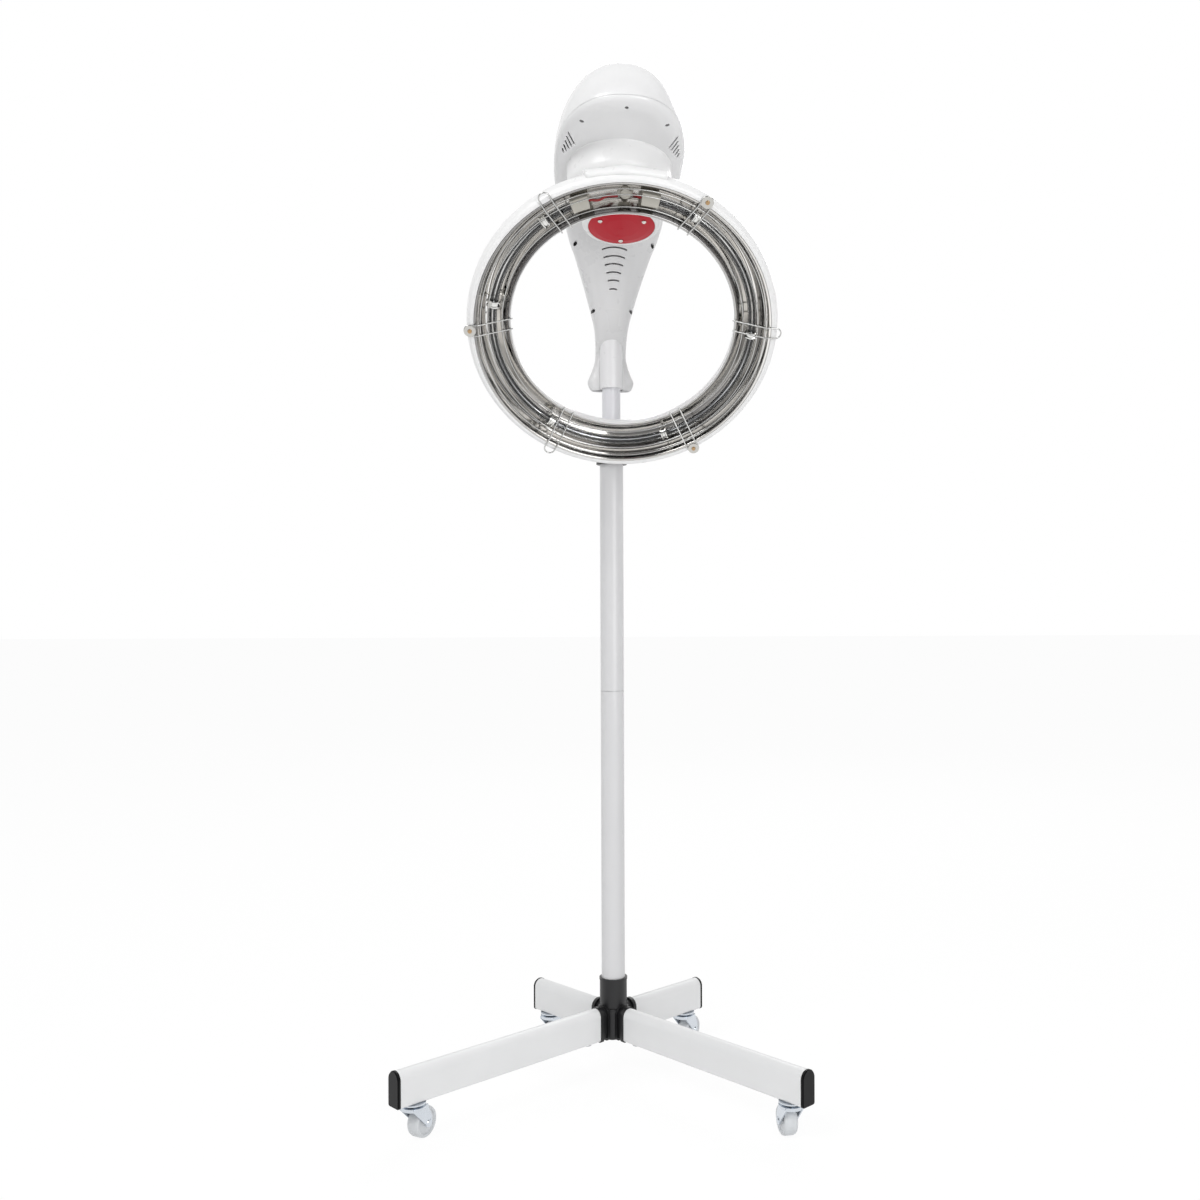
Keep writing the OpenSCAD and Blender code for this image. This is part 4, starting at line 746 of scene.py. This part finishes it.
def rounded_line(line, r, count=4):
    """Rounds each inner corner of a line with a small arc."""
    made = [line[0]]
    for before, here, after in zip(line, line[1:], line[2:]):
        a, b, c = Vector(before), Vector(here), Vector(after)
        u, v = (a - b).normalized(), (c - b).normalized()
        reach = min(r, (a - b).length * 0.45, (c - b).length * 0.45)
        start, end = b + u * reach, b + v * reach
        for k in range(count + 1):
            t = k / count
            made.append(tuple(start * (1 - t) ** 2 + b * 2 * t * (1 - t) + end * t * t))
    made.append(line[-1])
    return made


bright = rounded_line(REFLECTOR_LINE, 1.2)
piece(lathe(bright + offset_line(bright, SHEET)[::-1], RING_STEPS), "reflector", ring_frame, reflector_metal,
      "orbiter", ["ring_reflector"], sharp=60)

# %% [markdown]
# The bridge carries the ring from the hub. It clasps the shell with a thin pad, curved as the shell is,
# and a low rib runs back along its middle. Each section is a flat loop with soft upper corners, given by
# a point on its top and one on its underside.

# %% Ring bridge
# Top (y, z), underside (y, z), half width, and how far the section follows the ring's curve
ARM = [
    (184.2, 3.6, 183.4, 3.0, 43.5, 1.0), (186.4, 3.1, 183.6, 1.8, 45.0, 1.0),
    (187.8, 1.4, 183.8, -0.6, 45.8, 1.0),
    (188.3, -2.0, 184.0, -3.0, 46.0, 1.0), (188.3, -8.0, 184.0, -8.0, 46.0, 1.0),
    (186.6, -15.0, 182.0, -14.0, 46.0, 1.0), (183.4, -21.7, 179.5, -20.0, 46.2, 1.0),
    (178.7, -27.8, 175.0, -26.0, 46.6, 1.0), (173.6, -34.0, 169.0, -31.0, 47.2, 1.0),
    (169.8, -44.0, 160.0, -37.0, 48.0, 0.8), (164.4, -63.5, 148.0, -44.0, 48.4, 0.4),
    (155.3, -96.0, 119.0, -72.0, 48.4, 0.0), (150.0, -104.0, 112.0, -79.0, 48.4, 0.0),
]
SOFT = 1.3                     # radius of the upper corners
FLATTER = 0.67                 # the underside follows the ring's curve less
RIB_H, RIB_HALF = 2.2, 14.0
ARM_STEPS = 3
# Share of the half width, then how far along and down from the corner; no depth means the underside
ACROSS = ([(-1, SOFT * cos(radians(a)), SOFT * (1 - sin(radians(a)))) for a in (180, 162, 144, 126, 108)]
          + [(k / 14, 0.0, 0.0) for k in range(-14, 15)]
          + [(1, SOFT * cos(radians(a)), SOFT * (1 - sin(radians(a)))) for a in (72, 54, 36, 18, 0)]
          + [(1, SOFT, None), (0.5, 0.0, None), (0, 0.0, None), (-0.5, 0.0, None), (-1, -SOFT, None)])


def arm_point(i, row):
    """A point of a section, bent back along the ring's circle."""
    top_y, top_z, low_y, low_z, half, follow = row
    share, more, depth = ACROSS[i]
    x = share * (half - SOFT) + more
    top, low = Vector((0, top_y, top_z)), Vector((0, low_y, low_z))
    spot = low if depth is None else top + (low - top).normalized() * min(depth, (low - top).length * 0.8)
    if depth == 0.0:
        spot += (top - low).normalized() * RIB_H * exp(-(x / RIB_HALF) ** 2)
    drop = (spot.y - sqrt(spot.y ** 2 - x * x)) * follow * (1.0 if depth is None else FLATTER)
    return Vector((x, spot.y - drop, spot.z))


arm_rows = [smooth_through(ARM, k / ARM_STEPS) for k in range(ARM_STEPS * (len(ARM) - 1) + 1)]
arm_mesh = stack(len(ACROSS), arm_rows, arm_point, close_ends=True)
ring_bridge = piece(arm_mesh, "ring_bridge", ring_frame, ring_white, "orbiter", ["ring_arm"],
                    sharp=50)
cut(ring_bridge, [loose(drum_of(48.05, 110.0, 220.0, 96), "hub_room", orbit_frame)])

# %% [markdown]
# The guard is spot-welded wire: three round wires and six hairpins. A small circle swept along a path
# makes each one. The hairpins run out over the rim, bend level, and turn back in a half round.


# %% Sweeping a circle along a path
def sweep(path, r, count=12, closed=False):
    """A round wire along a path, whose section doesn't twist."""
    path = [Vector(p) for p in path]
    last = len(path)
    frames = []
    side = None
    for k in range(last):
        if closed:
            run = path[(k + 1) % last] - path[k - 1]
        else:
            run = path[min(k + 1, last - 1)] - path[max(k - 1, 0)]
        run.normalize()
        if side is None:
            side = run.orthogonal()
        side = (side - run * side.dot(run)).normalized()
        frames.append((path[k], side.copy(), run.cross(side)))

    def around(i, row):
        turn = 2 * pi * i / count
        middle, u, v = row
        return middle + (u * cos(turn) + v * sin(turn)) * r

    if closed:
        return stack(count, frames + [frames[0]], around)
    return stack(count, frames, around, close_ends=True)


def joined(*parts):
    """Puts several bmeshes into one."""
    whole = bmesh.new()
    for part in parts:
        mesh = bpy.data.meshes.new("part")
        part.to_mesh(mesh)
        part.free()
        whole.from_mesh(mesh)
        bpy.data.meshes.remove(mesh)
    return whole


def ring_point(r, turn, z):
    """A point in the ring's frame, with its angle in degrees."""
    return Vector((r * cos(radians(turn)), r * sin(radians(turn)), z))


# %% Guard
WIRE, FINE = 0.9, 0.6
GUARD_Z, GUARD_INNER_Z = 9.2, -10.5
BEND_R, RIM_IN = 171.0, 135.0
BEND, PAIR_HALF, WIRE_END = 5.0, 6.5, 132.0
ROUND_WIRES = (144.0, 161.0, 169.0)
SLOPE = (GUARD_Z - GUARD_INNER_Z) / (BEND_R - RIM_IN)
SINK = 2.15 / cos(atan(SLOPE))
EYES, LOOPS, EYE_AT = (60, 180, 300), (0, 120, 240), 181.0


def guard_height(r):
    return GUARD_INNER_Z + (r - RIM_IN) * SLOPE


def hairpin(turn, loop_at):
    """A pair of legs that meet in a half round past the rim."""
    leg = [(WIRE_END, guard_height(WIRE_END))]
    reach = BEND * tan(atan(SLOPE) / 2)
    for k in range(5):
        a = atan(SLOPE) * (1 - k / 4)
        leg.append((BEND_R + reach - BEND * sin(a), GUARD_Z - BEND + BEND * cos(a)))
    path = [(x, -PAIR_HALF, z) for x, z in leg]
    path += [(loop_at + PAIR_HALF * sin(radians(a)), -PAIR_HALF * cos(radians(a)), GUARD_Z)
             for a in range(0, 181, 12)]
    path += [(x, PAIR_HALF, z) for x, z in reversed(leg)]
    spin = Matrix.Rotation(radians(turn), 3, "Z")
    return sweep([spin @ Vector(p) for p in path], WIRE)


wires = [sweep([ring_point(r, 2 * k, guard_height(r) - SINK) for k in range(180)], FINE, closed=True)
         for r in ROUND_WIRES]
wires += [hairpin(a, EYE_AT + 0.6) for a in LOOPS] + [hairpin(a, EYE_AT) for a in EYES]
piece(joined(*wires), "guard", ring_frame, wire_metal, "orbiter", ["guard_wires"], sharp=60)

# %% [markdown]
# The quartz tube is thin walled and holds two coiled wires. Each coil is a helix wound round the tube's
# own circle, so it catches the light in fine dashes through the glass.

# %% Quartz tube
HEATER_R, HEATER_Z = 155.5, -10.0
HEATER_FROM, HEATER_SPAN = 113.0, 323.0


def heater_point(share, across=0.0, up=0.0):
    """A point at a share of the tube's length, beside its centre line."""
    turn = radians(HEATER_FROM + HEATER_SPAN * share)
    return Vector(((HEATER_R + across) * cos(turn), (HEATER_R + across) * sin(turn), HEATER_Z + up))


TUBE_R, TUBE_WALL = 5.5, 0.9
TUBE_STEPS, TUBE_SIDES = 200, 24


def tube_point(i, row):
    share, r = row
    turn = 2 * pi * i / TUBE_SIDES
    return heater_point(share, r * cos(turn), r * sin(turn))


there = [(k / TUBE_STEPS, TUBE_R) for k in range(TUBE_STEPS + 1)]
back = [(share, TUBE_R - TUBE_WALL) for share, r in reversed(there)]
piece(stack(TUBE_SIDES, there + back + there[:1], tube_point), "quartz_tube", ring_frame, quartz, "orbiter",
      ["heater_tube"], sharp=50)

# %% Tube clips
CLIP_ANGLES = (58.8, 126.0, 170.2, 235.3, 290.2, 356.4)
CLIP_LINE = [(5.6, -4.2), (7.2, -4.2), (8.0, -3.5), (8.0, -2.3), (6.7, -1.3), (6.7, 1.3), (8.0, 2.3),
             (8.0, 3.5), (7.2, 4.2), (5.6, 4.2)]
POST_R, POST_FROM, POST_GAP = 1.6, -30.5, 6.2


def clip(turn):
    """A double-flanged ring round the tube, with a post down to the reflector."""
    spin = Matrix.Rotation(radians(turn), 4, "Z")
    ring = lathe(CLIP_LINE, 40)
    ring.transform(spin @ Matrix.Translation((HEATER_R, 0.0, HEATER_Z)) @ Matrix.Rotation(pi / 2, 4, "X"))
    post = rod(POST_R, (HEATER_R, 0.0, POST_FROM), (HEATER_R, 0.0, HEATER_Z - POST_GAP), 16)
    post.transform(spin)
    return joined(ring, post)


piece(joined(*[clip(turn) for turn in CLIP_ANGLES]), "clips", ring_frame, clip_steel, "orbiter",
      ["tube_clips"], sharp=40)

# %% Coils
COIL_APART, COIL_R, COIL_WIRE = 2.35, 1.2, 0.6


def coil(across, turns=620, per_turn=7):
    """A helix along the tube, to one side of its centre line."""
    path = []
    for k in range(turns * per_turn + 1):
        a = 2 * pi * k / per_turn
        path.append(heater_point(k / (turns * per_turn), across + COIL_R * cos(a), COIL_R * sin(a)))
    return sweep(path, COIL_WIRE, 5)


piece(joined(coil(-COIL_APART), coil(COIL_APART)), "heater_coils", ring_frame, coil_metal, "orbiter",
      ["heater_filaments"], sharp=180, merge=0.0001)

# %% Leads
END_BLOCK, LEAD_GAP, THERMOSTAT = 7.4, 0.08, 3.4  # degrees round the ring
LEAD_R, LEAD_DROP, WAVE = 1.4, 8.2, 0.1


def lead_path(side):
    """From an end block to the thermostat at the top of the ring, in a shallow wave."""
    start = HEATER_FROM + HEATER_SPAN - 360 + END_BLOCK if side > 0 else HEATER_FROM - END_BLOCK
    end = 90.0 - side * THERMOSTAT
    start += side * LEAD_GAP
    path = []
    for k in range(41):
        t = k / 40
        wave = WAVE * abs(end - start) * (1 - cos(radians(540 * t)))
        path.append(ring_point(HEATER_R - wave, start + (end - start) * t, HEATER_Z - LEAD_DROP * t * t))
    return path


piece(joined(sweep(lead_path(1), LEAD_R), sweep(lead_path(-1), LEAD_R)), "leads", ring_frame, red_sleeve,
      "orbiter", ["heater_leads"])

# %% [markdown]
# The floor is a wide pale sheet. Only the camera, mirrors and glass see it as white, so the stand keeps
# a soft shadow under its wheels while the light on it stays at a plain level. Far in front of the stand,
# where a studio's floor is dim, mirrors see it by its own light.


# %% Floor
def seen_white(book, strength):
    """How much of the floor's own light a ray gets, by the kind of ray and how near it lands."""
    ray = book.node("ShaderNodeLightPath").socket.node
    seen = Value(book, ray.outputs["Is Camera Ray"])
    glossy = Value(book, ray.outputs["Is Glossy Ray"])
    through = Value(book, ray.outputs["Is Transmission Ray"])
    reach = book.node("ShaderNodeSeparateXYZ", None, {0: book.here()}, out=1)
    near = book.node("ShaderNodeMapRange", None, {"Value": reach, 1: -1.6, 2: -0.7, 3: 0.0, 4: 1.0})
    return seen.at_least(glossy * near).at_least(through) * strength


floor_book = Book("pale_floor")
floor_book.set(Base_Color=(0.86, 0.86, 0.86, 1.0), Roughness=0.8)
glow = floor_book.node("ShaderNodeEmission", None, {"Color": (1.0, 1.0, 1.0, 1.0), "Strength": 1.03})
lit = Value(floor_book, floor_book.shader.outputs[0])
mixed = floor_book.node("ShaderNodeMixShader", None, {0: seen_white(floor_book, 0.9), 1: lit, 2: glow})
floor_book.tree.links.new(mixed.socket, floor_book.tree.nodes["Material Output"].inputs[0])

sheet = bmesh.new()
bmesh.ops.create_grid(sheet, x_segments=1, y_segments=1, size=20.0)
floor_mesh = bpy.data.meshes.new("floor")
sheet.to_mesh(floor_mesh)
sheet.free()
floor = bpy.data.objects.new("floor", floor_mesh)
floor_mesh.materials.append(floor_book.material)
bpy.context.scene.collection.objects.link(floor)
print("floor laid")

# %% [markdown]
# Three large soft panels light the white plastic without burning it out, and the room itself gives an
# even fill. The backdrop looks white to the camera and in reflections. In front of the stand the room is
# dim, and mirrors see that too, which gives the bright metal its dark bands.


# %% Lights
def panel_light(name, place, aim, size, power):
    """A soft rectangular light, in watts, that faces a point."""
    data = bpy.data.lights.new(name, "AREA")
    data.shape = "RECTANGLE"
    data.size = size[0]
    data.size_y = size[1]
    data.energy = power
    lamp = bpy.data.objects.new(name, data)
    lamp.location = place
    lamp.rotation_euler = (Vector(aim) - Vector(place)).to_track_quat("-Z", "Y").to_euler()
    bpy.context.scene.collection.objects.link(lamp)


panel_light("key", (-1.5, -2.1, 2.8), (0.0, -0.1, 0.9), (1.4, 1.4), 37.0)
panel_light("fill", (1.5, -2.6, 1.1), (0.0, 0.0, 0.9), (1.6, 1.8), 28.0)
panel_light("back", (0.6, 2.4, 2.4), (0.0, 0.0, 1.0), (2.0, 1.2), 20.0)

DIM_FRONT, PLAIN, BACKDROP = 0.2, 0.5, 1.0  # what mirrors see in front, plain light, and the backdrop
SOFT_EDGE = 0.15                            # half width of the step between the front and the backdrop

room = bpy.data.worlds.new("room")
room.use_nodes = True
bpy.context.scene.world = room
air = room.node_tree
sky = air.nodes["Background"]
sky.inputs["Color"].default_value = (1.0, 1.0, 1.0, 1.0)
rays = air.nodes.new("ShaderNodeLightPath")
most = air.nodes.new("ShaderNodeMath")
most.operation = "MAXIMUM"
air.links.new(rays.outputs["Is Camera Ray"], most.inputs[0])
air.links.new(rays.outputs["Is Transmission Ray"], most.inputs[1])
toward = air.nodes.new("ShaderNodeTexCoord")
parts = air.nodes.new("ShaderNodeSeparateXYZ")
air.links.new(toward.outputs["Generated"], parts.inputs[0])
behind = air.nodes.new("ShaderNodeMapRange")
for key, value in (("From Min", -SOFT_EDGE), ("From Max", SOFT_EDGE), ("To Min", DIM_FRONT),
                   ("To Max", BACKDROP)):
    behind.inputs[key].default_value = value
air.links.new(parts.outputs[1], behind.inputs["Value"])
mirror = air.nodes.new("ShaderNodeMix")
air.links.new(rays.outputs["Is Glossy Ray"], mirror.inputs[0])
mirror.inputs[2].default_value = PLAIN
air.links.new(behind.outputs[0], mirror.inputs[3])
span = air.nodes.new("ShaderNodeMix")
air.links.new(most.outputs[0], span.inputs[0])
air.links.new(mirror.outputs[0], span.inputs[2])
span.inputs[3].default_value = BACKDROP
air.links.new(span.outputs[0], sky.inputs["Strength"])
bpy.context.scene.view_settings.view_transform = "Standard"
print("lights set")
